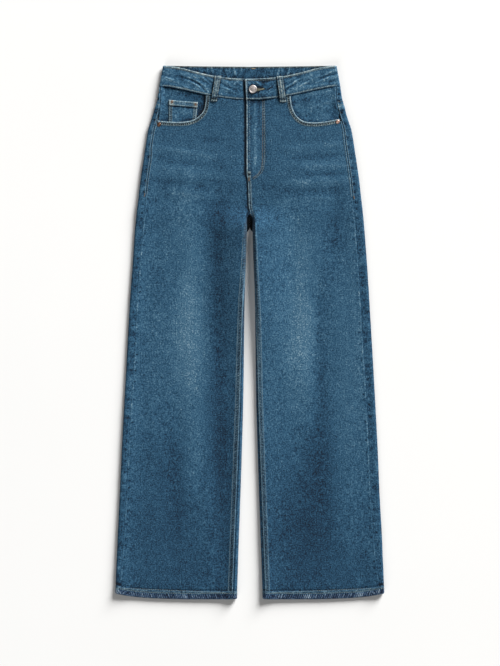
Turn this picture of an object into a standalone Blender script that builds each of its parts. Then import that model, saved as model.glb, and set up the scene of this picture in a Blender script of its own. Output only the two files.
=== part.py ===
"""Wide leg jeans, laid flat with the front up.

+X is the wearer's left, +Y runs up the garment to the waist, +Z is out of the
surface that it lies on. The origin is the middle of the footprint, on that
surface. Sizes below are millimetres; the mesh is built in metres.

Each leg is a flattened tube. Its section is two straight runs of cloth joined
by a round fold at the outer and at the inner edge. The front panel covers the
upper run, and the wider back panel covers the lower run, both folds and a
narrow strip of the front, as far as the outseam and the inseam. Places on a
section are counted along the cloth, from the outer fold line over the front.
"""

import math
from collections import namedtuple

import bmesh
import bpy
from mathutils import Matrix, Vector

MM = 0.001

# ---------------------------------------------------------------- main sizes
CLOTH = 1.1            # one layer of denim
BAND_CLOTH = 2.4       # waistband, two layers and what is folded in
HEM_CLOTH = 3.0        # three layers where the hem is turned up
LOOP_CLOTH = 2.0
SEAM = 0.3             # between pieces at a seam, and between layers
MID_Y = 0.93           # the outline's middle, taken off every y

CROTCH_FRONT = 221.0   # where the fronts part
CROTCH_BACK = 203.0    # where the backs part
SAG = 2.2              # the front drops this much on to the back, clear of the edges
SAG_FROM = 322.0       # the pocket facings and the zip hold it up above here
OUTER_RUN = 46.0       # how far in from an edge the whole drop is reached
INNER_RUN = 34.0

# One row for each level of the outline.
# side: centre line to outer fold line. gap: centre line to inner fold line.
# outseam, inseam: from that fold line to the seam, along the cloth, over the front.
# thick: lower face to upper face. lift: lower face above the surface.
Level = namedtuple("Level", "y side gap outseam inseam thick lift")
LEVELS = [
    Level(540.0, 172.5, 0.0, 3.6, 0.0, 6.4, 2.3),
    Level(497.0, 181.0, 0.0, 4.4, 0.0, 6.4, 2.3),
    Level(467.0, 186.0, 0.0, 8.0, 0.0, 6.2, 2.0),
    Level(447.0, 192.0, 0.0, 9.6, 0.0, 5.9, 1.6),
    Level(427.0, 197.5, 0.0, 11.0, 0.0, 5.6, 1.4),
    Level(407.0, 203.2, 0.0, 12.0, 0.0, 5.6, 1.4),
    Level(377.0, 208.5, 0.0, 13.0, 0.0, 5.6, 1.4),
    Level(347.0, 213.5, 0.0, 14.2, 0.0, 5.6, 1.4),
    Level(307.0, 219.0, 0.0, 16.0, 0.0, 5.6, 1.4),
    Level(267.0, 224.0, 5.0, 17.6, 0.0, 5.6, 1.4),
    Level(245.0, 226.2, 5.3, 17.5, 0.0, 5.6, 1.4),
    Level(203.0, 230.0, 6.0, 17.2, 0.0, 5.6, 0.2),
    Level(147.0, 234.5, 7.5, 17.0, 1.3, 5.6, 0.0),
    Level(67.0, 240.0, 10.0, 17.0, 4.4, 5.6, 0.0),
    Level(-13.0, 244.5, 11.2, 16.6, 6.2, 5.6, 0.0),
    Level(-133.0, 250.5, 12.8, 15.6, 7.8, 5.6, 0.0),
    Level(-213.0, 254.8, 15.0, 15.0, 8.4, 5.6, 0.0),
    Level(-333.0, 261.0, 18.8, 14.2, 9.2, 5.6, 0.0),
    Level(-453.0, 267.0, 23.0, 13.2, 9.8, 5.8, 0.0),
    Level(-516.0, 269.0, 25.0, 11.8, 10.2, 7.0, 0.0),
    Level(-540.0, 269.0, 25.6, 11.4, 10.4, 7.2, 0.0),
]
INSEAM_SHARE = {-1: 1.0, 1: 0.66}   # the inseam lies nearer the edge on the left leg

# Levels that the panels are lofted through.
LEG_STOPS = [267.0, 245.0, 223.0, 219.0, 205.0, 201.0, 175.0, 147.0, 125.0, 105.0, 85.0, 67.0, 0.0,
             -133.0, -253.0, -373.0, -453.0]
HEM_STOPS = [-500.0, -517.0, -518.4, -533.0]
BACK_TOP_STOPS = [457.0, 442.0, 427.0, 407.0, 377.0, 347.0, 307.0]
FRONT_TOP_STOPS = [497.0, 447.0, 427.0, 407.0, 377.0, 347.0, 322.0, 312.0, 300.0]

# Edges that aren't level, as y for each distance from the centre line.
Edge = namedtuple("Edge", "x y")
BAND_FRONT_LOW = [Edge(-20, 465.4), Edge(18, 466), Edge(46, 468.6), Edge(82, 474.4),
                  Edge(112, 481), Edge(140, 487.2), Edge(165, 491.6), Edge(190, 493.4)]
BAND_FRONT_TOP = [Edge(-20, 508), Edge(12, 508.5), Edge(46, 510.5), Edge(78, 515.5),
                  Edge(104, 521.5), Edge(137, 530), Edge(158, 533.3), Edge(180, 534.8)]
BAND_BACK_LOW = [Edge(0, 493.5), Edge(90, 494), Edge(190, 494.5)]
BAND_BACK_TOP = [Edge(0, 532.6), Edge(90, 533.4), Edge(180, 534.8)]
YOKE_LOW = [Edge(0, 425), Edge(60, 434), Edge(130, 446), Edge(190, 457)]
HEM_LOW = [Edge(20, -531.6), Edge(48, -532.8), Edge(120, -532.8), Edge(169, -531.7),
           Edge(205, -530.2), Edge(236, -527.2), Edge(269, -521.4)]

# Mouth of each hand pocket, from the waistband round to the outseam.
MOUTHS = {
    -1: [Edge(87.6, 480), Edge(88.4, 462.8), Edge(92, 446), Edge(99, 436),
         Edge(110, 427.8), Edge(124, 423.2), Edge(144, 421.8), Edge(166, 422.6),
         Edge(190, 425.4)],
    1: [Edge(81.0, 480), Edge(82.6, 463), Edge(86.8, 446), Edge(96.0, 431.5),
        Edge(110, 422.8), Edge(130, 420.8), Edge(151, 422.6), Edge(170, 426.2),
        Edge(190, 429.5)],
}
FACING_DEPTH = {-1: 2.8, 1: 1.4}    # room for the coin pocket on the right side
FACING_END = 398.0
FACING_INNER = 74.0

# The fly. The left front laps over the right one down to its bar tack.
Fly = namedtuple("Fly", "y left_edge right_edge raised lowered")
FLY = [
    Fly(500.0, -5.6, 2.0, 0.8, 0.7),
    Fly(322.0, -5.4, 2.0, 0.8, 0.7),
    Fly(312.0, -5.0, -5.4, 0.8, 0.7),
    Fly(300.0, -3.85, -4.15, 0.0, 0.0),
    Fly(221.0, -3.35, -3.65, 0.0, 0.0),
]
BAND_RAISED = 1.9      # the waistband's upper end over its lower end
BAND_LOWERED = 0.9
BAND_LAP = 14.0        # how far the lower end runs past the centre

# Soft vertical folds of the fronts: centre x, top y, bottom y, half width, depth.
Fold = namedtuple("Fold", "x top low half depth")
FOLDS = [
    Fold(88, 215, -330, 34, -0.5),
    Fold(176, 120, -470, 26, -0.4),
    Fold(140, -180, -500, 30, 0.7),
    Fold(128, 330, 40, 30, 0.6),
]

# Belt loops: top and bottom middle points.
Loop = namedtuple("Loop", "name top low")
LOOP_WIDTH = 12.4
LOOP_ARCH = 1.5
FRONT_LOOPS = [
    Loop("belt_loop_front_right", (-63.4, 514.0), (-72.0, 463.0)),
    Loop("belt_loop_front_left", (59.6, 513.6), (66.8, 461.5)),
]
BACK_LOOPS = [
    Loop("belt_loop_back_right", (-116.0, 532.6), (-119.0, 482.0)),
    Loop("belt_loop_back_centre", (0.0, 531.6), (0.0, 481.0)),
    Loop("belt_loop_back_left", (116.0, 532.6), (119.0, 482.0)),
]

# Back patch pocket, half outline about its own middle line.
POCKET_MIDDLE = 98.0
POCKET_LEAN = 3.0      # degrees
POCKET_TOP = 411.0
POCKET_HEIGHT = 158.0
POCKET_TOP_HALF = 73.0
POCKET_LOW_HALF = 63.0
POCKET_POINT = 26.0    # depth of the pointed foot

COIN_TOP = [Edge(102, 461.4), Edge(162, 466.2)]
COIN_LOW = 415.0

BUTTON_AT = (5.8, 488.8)
BUTTON_RADIUS = 8.5
SHANK_RADIUS = 2.2
EYE_RADIUS = 3.2
BUTTONHOLE_END = 27.5
BUTTONHOLE_WIDTH = 1.2

ZIP_WIDTH = 13.0
ZIP_THICK = 1.4

# Rivets: middle, head radius, depth of the cloth they sit on.
Rivet = namedtuple("Rivet", "name x y radius depth")
RIVETS = [
    Rivet("rivet_pocket_right", -181.5, 416.7, 4.0, 0.0),
    Rivet("rivet_pocket_left", 175.9, 422.3, 4.0, 0.0),
    Rivet("rivet_coin_outer", -155.7, 462.1, 3.3, 1.4),
    Rivet("rivet_coin_inner", -107.7, 457.3, 3.3, 1.4),
]
RIVET_HIGH = 1.3


# ------------------------------------------------------------------- curves
def through(xs, ys, x):
    """A smooth curve through the points that never overshoots them, read at x."""
    if xs[0] > xs[-1]:
        xs, ys = xs[::-1], ys[::-1]
    if x <= xs[0]:
        return ys[0]
    if x >= xs[-1]:
        return ys[-1]
    i = max(k for k in range(len(xs) - 1) if xs[k] <= x)
    rise = [(ys[k + 1] - ys[k]) / (xs[k + 1] - xs[k]) for k in range(len(xs) - 1)]

    def slope(k):
        if k == 0 or k == len(xs) - 1:
            return rise[0] if k == 0 else rise[-1]
        a, b = rise[k - 1], rise[k]
        return 0.0 if a * b <= 0 else 2 * a * b / (a + b)

    h = xs[i + 1] - xs[i]
    t = (x - xs[i]) / h
    return (ys[i] * (1 + 2 * t) * (1 - t) ** 2 + slope(i) * h * t * (1 - t) ** 2
            + ys[i + 1] * t * t * (3 - 2 * t) + slope(i + 1) * h * t * t * (t - 1))


def edge_at(edge, x):
    return through([e.x for e in edge], [e.y for e in edge], x)


def column(name, y):
    return through([r.y for r in LEVELS], [getattr(r, name) for r in LEVELS], y)


def fly_at(name, y):
    ys = [r.y for r in FLY]
    values = [getattr(r, name) for r in FLY]
    if y >= ys[0]:
        return values[0]
    for k in range(len(ys) - 1):
        if y >= ys[k + 1]:
            t = (y - ys[k + 1]) / (ys[k] - ys[k + 1])
            return values[k + 1] + t * (values[k] - values[k + 1])
    return values[-1]


def ease(t):
    t = min(1.0, max(0.0, t))
    return t * t * (3 - 2 * t)


# ----------------------------------------------------------------- sections
def measures(y, back=False):
    """Fold radius, quarter turn, straight run and gap of the section at y."""
    radius = column("thick", y) / 2
    parted = CROTCH_BACK if back else CROTCH_FRONT
    gap = column("gap", y) if y < parted else -30.0
    run = column("side", y) - gap - 2 * radius
    return radius, radius * math.pi / 2, run, gap


def s_on_front(y, x):
    radius, quarter, _, _ = measures(y)
    return quarter + column("side", y) - radius - x


def s_on_back(y, x):
    radius, quarter, run, gap = measures(y, True)
    return 3 * quarter + run + x - gap - radius


def sag(x, y):
    """How far the front has dropped, clear of the stiff folded edges."""
    outer = ease((column("side", y) - x) / OUTER_RUN)
    inner = ease((x - column("gap", y)) / INNER_RUN)
    parted = ease((CROTCH_FRONT + 40.0 - y) / 80.0)
    down = ease((SAG_FROM - y) / 70.0) * ease((y + 540.0) / 60.0)
    return SAG * down * outer * (1 - parted * (1 - inner))


def folds(x, y):
    z = -sag(x, y)
    for f in FOLDS:
        across = max(0.0, 1 - abs(x - f.x) / f.half)
        down = ease((f.top - y) / 90.0) * ease((y - f.low) / 90.0)
        z += f.depth * ease(across) * down
    return z


def section(y, s, depth=0.0, back=False):
    """(x, z) of the cloth at level y, s along the section, depth in from its face."""
    radius, quarter, run, gap = measures(y, back)
    side = column("side", y)
    s = s % (4 * quarter + 2 * run)
    if s < quarter:
        a = s / radius
        x, z, nx, nz = side - radius + radius * math.cos(a), radius * math.sin(a), math.cos(a), math.sin(a)
    elif s < quarter + run:
        x, z, nx, nz = side - radius - (s - quarter), radius, 0.0, 1.0
    elif s < 3 * quarter + run:
        a = (s - quarter - run) / radius
        x, z, nx, nz = gap + radius - radius * math.sin(a), radius * math.cos(a), -math.sin(a), math.cos(a)
    elif s < 3 * quarter + 2 * run:
        x, z, nx, nz = gap + radius + (s - 3 * quarter - run), -radius, 0.0, -1.0
    else:
        a = (s - 3 * quarter - 2 * run) / radius
        x, z, nx, nz = side - radius + radius * math.sin(a), -radius * math.cos(a), math.sin(a), -math.cos(a)
    x -= depth * nx
    z -= depth * nz
    z += column("lift", y) + radius
    z += folds(x, y) * max(0.0, nz) ** 0.5
    return x, z, nz


# ------------------------------------------------------------------ builder
def material(name, colour, roughness, metallic=0.0):
    made = bpy.data.materials.new(name)
    made.use_nodes = True
    shader = made.node_tree.nodes["Principled BSDF"]
    shader.inputs["Base Color"].default_value = (*colour, 1.0)
    shader.inputs["Roughness"].default_value = roughness
    shader.inputs["Metallic"].default_value = metallic
    return made


def add(name, mesh, collection, finish):
    made = bpy.data.objects.new(name, mesh)
    collection.objects.link(made)
    made.data.materials.append(finish)
    return made


def cloth(name, rows, columns, place, collection, finish):
    """A closed wall of cloth: a grid laid on the outer face, the same grid on the
    inner face, and the two joined round their rims. place(i, j, inside) gives the
    point of row i and column j, in millimetres."""
    shape = bmesh.new()
    faces = []
    for inside in (False, True):
        grid = bmesh.ops.create_grid(shape, x_segments=columns, y_segments=rows, size=0.5)
        points = sorted(grid["verts"], key=lambda p: (round((p.co.y + 0.5) * rows),
                                                      round((p.co.x + 0.5) * columns)))
        for k, point in enumerate(points):
            i, j = divmod(k, columns + 1)
            x, y, z = place(i, j, inside)
            point.co = Vector((x, y - MID_Y, z)) * MM
        faces.append(points)
    width = columns + 1
    rim = ([j for j in range(width)] + [i * width + columns for i in range(1, rows + 1)]
           + [rows * width + j for j in range(columns - 1, -1, -1)]
           + [i * width for i in range(rows - 1, 0, -1)])
    for a, b in zip(rim, rim[1:] + rim[:1]):
        shape.faces.new((faces[0][a], faces[0][b], faces[1][b], faces[1][a]))
    bmesh.ops.recalc_face_normals(shape, faces=shape.faces)
    mesh = bpy.data.meshes.new(name)
    shape.to_mesh(mesh)
    shape.free()
    mesh.shade_smooth()
    mesh.set_sharp_from_angle(angle=math.radians(40))
    return add(name, mesh, collection, finish)


def outline(name, points, thick, height, collection, finish):
    """A flat outline cut from cloth of that thickness, with its middle at height."""
    curve = bpy.data.curves.new(name, "CURVE")
    curve.dimensions = "2D"
    curve.fill_mode = "BOTH"
    curve.extrude = thick / 2 * MM
    spline = curve.splines.new("POLY")
    spline.points.add(len(points) - 1)
    for point, (x, y) in zip(spline.points, points):
        point.co = (x * MM, (y - MID_Y) * MM, 0.0, 1.0)
    spline.use_cyclic_u = True
    made = bpy.data.objects.new(name, curve)
    made.location.z = height * MM
    collection.objects.link(made)
    if finish:
        curve.materials.append(finish)
    return made


def as_mesh(curved, collection):
    """The curve as a closed mesh, so that it can cut or be cut."""
    bpy.context.view_layer.update()
    evaluated = curved.evaluated_get(bpy.context.evaluated_depsgraph_get())
    mesh = bpy.data.meshes.new_from_object(evaluated)
    shape = bmesh.new()
    shape.from_mesh(mesh)
    bmesh.ops.remove_doubles(shape, verts=shape.verts, dist=0.00001)
    bmesh.ops.recalc_face_normals(shape, faces=shape.faces)
    shape.to_mesh(mesh)
    shape.free()
    name, place = curved.name, curved.matrix_world.copy()
    bpy.data.objects.remove(curved)
    made = bpy.data.objects.new(name, mesh)
    made.matrix_world = place
    collection.objects.link(made)
    return made


def cut(target, cutter):
    cutter.hide_render = True
    cutter.display_type = "WIRE"
    step = target.modifiers.new("cut_" + cutter.name, "BOOLEAN")
    step.operation = "DIFFERENCE"
    step.solver = "EXACT"
    step.object = cutter


def bevelled(target, width, segments=2, angle=30):
    step = target.modifiers.new("rounded", "BEVEL")
    step.width = width * MM
    step.segments = segments
    step.limit_method = "ANGLE"
    step.angle_limit = math.radians(angle)


# ------------------------------------------------------------------- panels
def seam_out(y):
    return column("outseam", y)


def seam_in(y, hand):
    """Where the inseam lies on a section, along the cloth from the outer fold line."""
    _, quarter, run, _ = measures(y)
    reach = column("inseam", y)
    reach = reach * INSEAM_SHARE[hand] if reach > 0 else reach
    return 2 * quarter + run - reach


def split(start, end, parts):
    return [start + (end - start) * k / parts for k in range(parts)]


def back_stations(y, hand):
    """Stations of the back panel on a section, inner end to outer end."""
    radius, quarter, run, gap = measures(y, True)
    end = 4 * quarter + 2 * run + seam_out(y) - SEAM / 2
    if y < CROTCH_BACK:
        start = seam_in(y, hand) + SEAM / 2
        low = 3 * quarter + run
    else:
        start = s_on_back(y, SEAM / 2)
        low = start + 9.0
    far = 3 * quarter + 2 * run
    span = far - low
    over = min(far + 2 * quarter, end - 1.0)
    return (split(start, low, 5) + [low, low + 26, low + 0.5 * span, far - 40]
            + split(far, over, 4) + [over, end])


def front_edge(y, hand):
    name = "left_edge" if hand > 0 else "right_edge"
    return fly_at(name, y) * (1 if hand > 0 else -1)


def front_stations(y, hand):
    start = seam_out(y) + SEAM / 2
    if y < CROTCH_FRONT:
        end = seam_in(y, hand) - SEAM / 2
    else:
        end = s_on_front(y, front_edge(y, hand))
    near = end - 9.0
    span = near - start
    return ([start + span * f for f in (0, 0.09, 0.2, 0.34, 0.48, 0.62, 0.76, 0.88)]
            + split(near, end, 3) + [end])


def stretched(stop, x, top_from, top_level, top_edge):
    """A level moved so that the top row lies on a slanting edge, and the last on the hem."""
    if stop > top_from:
        return top_from + (stop - top_from) * (edge_at(top_edge, x) - SEAM - top_from) / (top_level - top_from)
    if stop < -453.0:
        return -453.0 + (stop + 453.0) * (edge_at(HEM_LOW, x) + 453.0) / (-533.0 + 453.0)
    return stop


def wall_at(stop, inside):
    if not inside:
        return 0.0
    return HEM_CLOTH if stop < -518.0 else CLOTH


def back_panel(hand, name, collection, finish):
    stops = BACK_TOP_STOPS + LEG_STOPS + HEM_STOPS
    stations = [back_stations(stop, hand) for stop in stops]

    def place(i, j, inside):
        stop, s = stops[i], stations[i][j]
        x, _, _ = section(stop, s, 0.0, True)
        y = stretched(stop, x, 307.0, 457.0, YOKE_LOW)
        x, z, _ = section(y, s if y == stop else back_stations(y, hand)[j], wall_at(stop, inside), True)
        return hand * x, y, z

    return cloth(name, len(stops) - 1, len(stations[0]) - 1, place, collection, finish)


def front_lap(x, y, hand):
    """How far a front panel is raised or lowered where the fly laps."""
    if y < 296.0:
        return 0.0
    near = 1 - ease((x - 6.0) / 26.0)
    if hand > 0:
        return fly_at("raised", y) * near
    return -fly_at("lowered", y) * near


def front_panel(hand, name, collection, finish):
    stops = FRONT_TOP_STOPS + LEG_STOPS + HEM_STOPS
    stations = [front_stations(stop, hand) for stop in stops]

    def place(i, j, inside):
        stop, s = stops[i], stations[i][j]
        x, _, _ = section(stop, s)
        y = stretched(stop, x, 377.0, 497.0, BAND_FRONT_LOW)
        x, z, _ = section(y, s if y == stop else front_stations(y, hand)[j], wall_at(stop, inside))
        return hand * x, y, z + front_lap(x, y, hand)

    return cloth(name, len(stops) - 1, len(stations[0]) - 1, place, collection, finish)


def yoke(hand, name, collection, finish):
    rows = 3
    columns = len(back_stations(470.0, hand)) - 1

    def place(i, j, inside):
        level = 470.0
        for _ in range(3):
            x, _, nz = section(level, back_stations(level, hand)[j], 0.0, True)
            low = edge_at(YOKE_LOW, x)
            top = band_edge("low", x, nz) - SEAM
            level = low + (top - low) * i / rows
        x, z, _ = section(level, back_stations(level, hand)[j], CLOTH if inside else 0.0, True)
        return hand * x, level, z

    return cloth(name, rows, columns, place, collection, finish)


def pocket_facing(hand, name, collection, finish):
    rows, columns = 8, 7
    levels = [0.0, 0.16, 0.3, 0.4, 0.5, 0.605, 0.737, 0.868, 1.0]

    def place(i, j, inside):
        y, x = 450.0, 120.0
        for _ in range(4):
            top = edge_at(BAND_FRONT_LOW, x) - SEAM
            y = FACING_END + (top - FACING_END) * levels[i]
            inset = 3.2 * (1 - ease((y - 432.0) / 8.0))
            start = seam_out(y) + SEAM / 2 + inset
            s = start + (s_on_front(y, FACING_INNER) - start) * j / columns
            x, _, _ = section(y, s)
        near = ease((s - seam_out(y)) / 14.0)
        low = 1 - ease((y - 434.0) / 16.0)
        drop = FACING_DEPTH[hand] * max(near, low)
        x, z, _ = section(y, s, drop + (CLOTH if inside else 0.0))
        return hand * x, y, z

    return cloth(name, rows, columns, place, collection, finish)


def coin_pocket(name, collection, finish):
    rows, columns = 4, 4

    def place(i, j, inside):
        x = 104.0 + (162.0 - 104.0) * j / columns
        top = edge_at(COIN_TOP, x)
        y = COIN_LOW + (top - COIN_LOW) * i / rows
        px, z, _ = section(y, s_on_front(y, x), 1.4 + (CLOTH if inside else 0.0))
        return -px, y, z

    return cloth(name, rows, columns, place, collection, finish)


# --------------------------------------------------------------- waistband
def band_edge(which, x, nz):
    """The waistband's lower or upper edge, which differs between front and back."""
    front, back = (BAND_FRONT_LOW, BAND_BACK_LOW) if which == "low" else (BAND_FRONT_TOP, BAND_BACK_TOP)
    share = ease((nz + 1) / 2)
    return edge_at(front, x) * share + edge_at(back, x) * (1 - share)


def band_stations():
    """(hand, kind, value) round the waistband, from its lower end to its upper end."""
    fronts = [160.0, 135.0, 108.0, 80.0, 60.0, 45.0, 30.0, 16.0]
    turns = [0.2, 0.6, 1.0, 1.4, 1.8]
    backs = [165.0, 120.0, 60.0]
    right = ([(-1, "front", -BAND_LAP)] + [(-1, "front", v) for v in (-4.0, 8.0, 20.0)]
             + [(-1, "front", v) for v in fronts[::-1] if v > 25]
             + [(-1, "turn", v) for v in turns] + [(-1, "back", v) for v in backs])
    left = ([(1, "front", -5.7), (1, "front", 6.0)] + [(1, "front", v) for v in fronts[::-1]]
            + [(1, "turn", v) for v in turns] + [(1, "back", v) for v in backs])
    return right + [(1, "back", 0.0)] + left[::-1]


def waistband(name, collection, finish):
    stations = band_stations()
    rows = 3

    def place(i, j, inside):
        hand, kind, value = stations[j]
        level = 515.0
        for _ in range(3):
            radius, quarter, run, gap = measures(level, True)
            if kind == "front":
                s = quarter + column("side", level) - radius - value
            elif kind == "turn":
                s = quarter - value * quarter
            else:
                s = 3 * quarter + run + value - gap - radius
            x, _, nz = section(level, s, 0.0, True)
            low, top = band_edge("low", x, nz), band_edge("top", x, nz)
            level = low + (top - low) * i / rows
        x, z, _ = section(level, s, BAND_CLOTH if inside else 0.0, True)
        if kind == "front":
            if hand > 0:
                z += BAND_RAISED * (1 - ease((x - 30.0) / 28.0))
            else:
                z -= BAND_LOWERED * (1 - ease((x - 8.0) / 12.0))
        return hand * x, level, z

    return cloth(name, rows, len(stations) - 1, place, collection, finish)


# -------------------------------------------------------------------- trims
def front_face(x, y, hand):
    """Height of the upper face of the front there."""
    on_band = y > edge_at(BAND_FRONT_LOW, abs(x))
    _, z, _ = section(y, s_on_front(y, abs(x)))
    if on_band and hand > 0:
        z += BAND_RAISED * (1 - ease((x - 30.0) / 28.0))
    return z


def belt_loop(loop, front, collection, finish):
    rows, columns = 8, 1
    ends = LOOP_WIDTH / 2

    def place(i, j, inside):
        t = i / rows
        x = loop.low[0] + (loop.top[0] - loop.low[0]) * t
        y = loop.low[1] + (loop.top[1] - loop.low[1]) * t
        if front:
            hand = 1 if x > 0 else -1
            base = max(front_face(x, yy, hand) for yy in (y - 3, y, y + 3))
            arch = LOOP_ARCH * ease(min(t, 1 - t) / 0.22)
            z = base + SEAM + arch + (0.0 if inside else LOOP_CLOTH)
        else:
            z = 0.0 if not inside else LOOP_CLOTH
        return x + (j - 0.5) * 2 * ends, y, z

    return cloth(loop.name, rows if front else 1, columns, place if front else
                 (lambda i, j, inside: place(i * rows, j, inside)), collection, finish)


def back_pocket(hand, name, collection, finish):
    lean = math.radians(POCKET_LEAN) * hand

    def place(i, j, inside):
        across, up = j - 1, i / 2
        x = across * (POCKET_LOW_HALF + (POCKET_TOP_HALF - POCKET_LOW_HALF) * up)
        low = -POCKET_HEIGHT + POCKET_POINT * abs(across)
        y = low * (1 - up)
        return (hand * POCKET_MIDDLE + x * math.cos(lean) - y * math.sin(lean),
                POCKET_TOP + x * math.sin(lean) + y * math.cos(lean), CLOTH if inside else 0.0)

    return cloth(name, 2, 2, place, collection, finish)


def turned(name, profile, place, collection, finish, steps=20):
    """A round piece: the profile of (radius, height) runs down its outer side."""
    mesh = bpy.data.meshes.new(name)
    points = [(r * MM, 0.0, h * MM) for r, h in profile]
    mesh.from_pydata(points, [(k, k + 1) for k in range(len(points) - 1)], [])
    made = add(name, mesh, collection, finish)
    made.location = (place[0] * MM, (place[1] - MID_Y) * MM, place[2] * MM)
    step = made.modifiers.new("turned", "SCREW")
    step.angle = math.tau
    step.steps = step.render_steps = steps
    step.use_merge_vertices = True
    step.merge_threshold = 0.00002
    step.use_smooth_shade = True
    return made


def dome(radius, height, base, count=3):
    """Profile of a low domed head, from its top on the axis down to its base."""
    points = [(0.0, base + height)]
    for k in range(1, count + 1):
        a = math.pi / 2 * k / count
        points.append((radius * math.sin(a), base + height * (0.35 + 0.65 * math.cos(a))))
    return points + [(radius * 0.96, base)]


def main():
    for old in list(bpy.data.objects):
        bpy.data.objects.remove(old)
    jeans = bpy.data.collections.new("wide_leg_jeans")
    cutters = bpy.data.collections.new("cutters")
    bpy.context.scene.collection.children.link(jeans)
    bpy.context.scene.collection.children.link(cutters)

    denim = material("denim", (0.075, 0.165, 0.29), 0.85)
    denim_dark = material("denim_dark", (0.05, 0.12, 0.22), 0.85)
    denim_worn = material("denim_worn", (0.12, 0.22, 0.33), 0.85)
    nickel = material("nickel", (0.72, 0.68, 0.65), 0.32, 1.0)
    tape = material("zip_tape", (0.03, 0.06, 0.11), 0.8)

    for hand, side in ((-1, "right"), (1, "left")):
        back_panel(hand, "back_" + side, jeans, denim)
        panel = front_panel(hand, "front_" + side, jeans, denim)
        yoke(hand, "back_yoke_" + side, jeans, denim)
        pocket_facing(hand, "pocket_facing_" + side, jeans, denim_dark)
        back_pocket(hand, "back_pocket_" + side, jeans, denim)

        mouth = MOUTHS[hand]
        shape = []
        for k in range(len(mouth) - 1):
            for part in range(3):
                t = part / 3
                p = [mouth[max(0, k - 1)], mouth[k], mouth[k + 1], mouth[min(len(mouth) - 1, k + 2)]]
                xy = [0.5 * (2 * p[1][c] + (p[2][c] - p[0][c]) * t
                             + (2 * p[0][c] - 5 * p[1][c] + 4 * p[2][c] - p[3][c]) * t * t
                             + (3 * p[1][c] - p[0][c] - 3 * p[2][c] + p[3][c]) * t ** 3) for c in (0, 1)]
                shape.append((hand * xy[0], xy[1]))
        shape += [(hand * mouth[-1].x, mouth[-1].y), (hand * 230.0, mouth[-1].y + 4.0),
                  (hand * 230.0, 520.0), (hand * mouth[0].x, 520.0)]
        cutter = as_mesh(outline("pocket_mouth_" + side, shape, 60.0, 5.0, cutters, None), cutters)
        cut(panel, cutter)

    coin_pocket("coin_pocket", jeans, denim)

    band = waistband("waistband", jeans, denim)
    x, y = BUTTON_AT
    underlap_top = column("lift", y) + column("thick", y) - BAND_LOWERED
    band_top = column("lift", y) + column("thick", y) + BAND_RAISED
    eye_low = underlap_top + 0.15
    shape = bmesh.new()
    bmesh.ops.create_cone(shape, cap_ends=True, segments=20, radius1=EYE_RADIUS * MM,
                          radius2=EYE_RADIUS * MM, depth=8.0 * MM,
                          matrix=Matrix.Translation(Vector((x, y - MID_Y, eye_low + 4.0)) * MM))
    mesh = bpy.data.meshes.new("buttonhole_eye")
    shape.to_mesh(mesh)
    shape.free()
    eye = bpy.data.objects.new("buttonhole_eye", mesh)
    cutters.objects.link(eye)
    cut(band, eye)
    shape = bmesh.new()
    bmesh.ops.create_cube(shape, size=1.0, matrix=Matrix.Translation(
        Vector(((x + BUTTONHOLE_END) / 2, y - MID_Y, eye_low + 4.0)) * MM)
        @ Matrix.Diagonal((*(Vector((BUTTONHOLE_END - x, BUTTONHOLE_WIDTH, 8.0)) * MM), 1.0)))
    mesh = bpy.data.meshes.new("buttonhole_slit")
    shape.to_mesh(mesh)
    shape.free()
    slit = bpy.data.objects.new("buttonhole_slit", mesh)
    cutters.objects.link(slit)
    cut(band, slit)

    for loop in FRONT_LOOPS:
        belt_loop(loop, True, jeans, denim_worn)
    for loop in BACK_LOOPS:
        belt_loop(loop, False, jeans, denim_worn)

    cap_base = band_top + 0.5 - underlap_top - SEAM
    turned("button", dome(BUTTON_RADIUS, 2.6, cap_base, 4)
           + [(SHANK_RADIUS, cap_base), (SHANK_RADIUS, 0.0), (0.0, 0.0)],
           (x, y, underlap_top + SEAM), jeans, nickel, 28)

    copper = material("copper", (0.42, 0.22, 0.13), 0.4, 1.0)
    for r in RIVETS:
        z = max(section(r.y, s_on_front(r.y, abs(r.x) + off), r.depth)[1] for off in (-r.radius, 0.0, r.radius))
        turned(r.name, dome(r.radius, RIVET_HIGH, 0.0) + [(0.0, 0.0)], (r.x, r.y, z + SEAM), jeans, copper, 18)

    # Closed zip, sewn to the right front's edge and hidden by the fly.
    shape = bmesh.new()
    low, high = FLY[1].y - 2.0, 461.0
    bmesh.ops.create_cube(shape, size=1.0)
    bmesh.ops.scale(shape, vec=Vector((ZIP_WIDTH, high - low, ZIP_THICK)) * MM, verts=shape.verts)
    mesh = bpy.data.meshes.new("zip")
    shape.to_mesh(mesh)
    shape.free()
    closure = add("zip", mesh, jeans, tape)
    under = min(column("lift", y) + column("thick", y) for y in (322.0, 360.0, 400.0, 430.0, 466.0))
    closure.location = Vector((2.4 + ZIP_WIDTH / 2, (low + high) / 2 - MID_Y,
                               under - 0.8 - ZIP_THICK / 2)) * MM
    bevelled(closure, 0.3, 1)


main()
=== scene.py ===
"""Wide leg jeans laid flat on a white floor, seen from straight above.

Lengths are millimetres until a mesh is made. x runs to the wearer's left, y up
the garment, z out of the floor, in the frame of the CAD part.
"""
import math
from collections import namedtuple

import bpy
import numpy as np
from mathutils import Matrix, Vector


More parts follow.
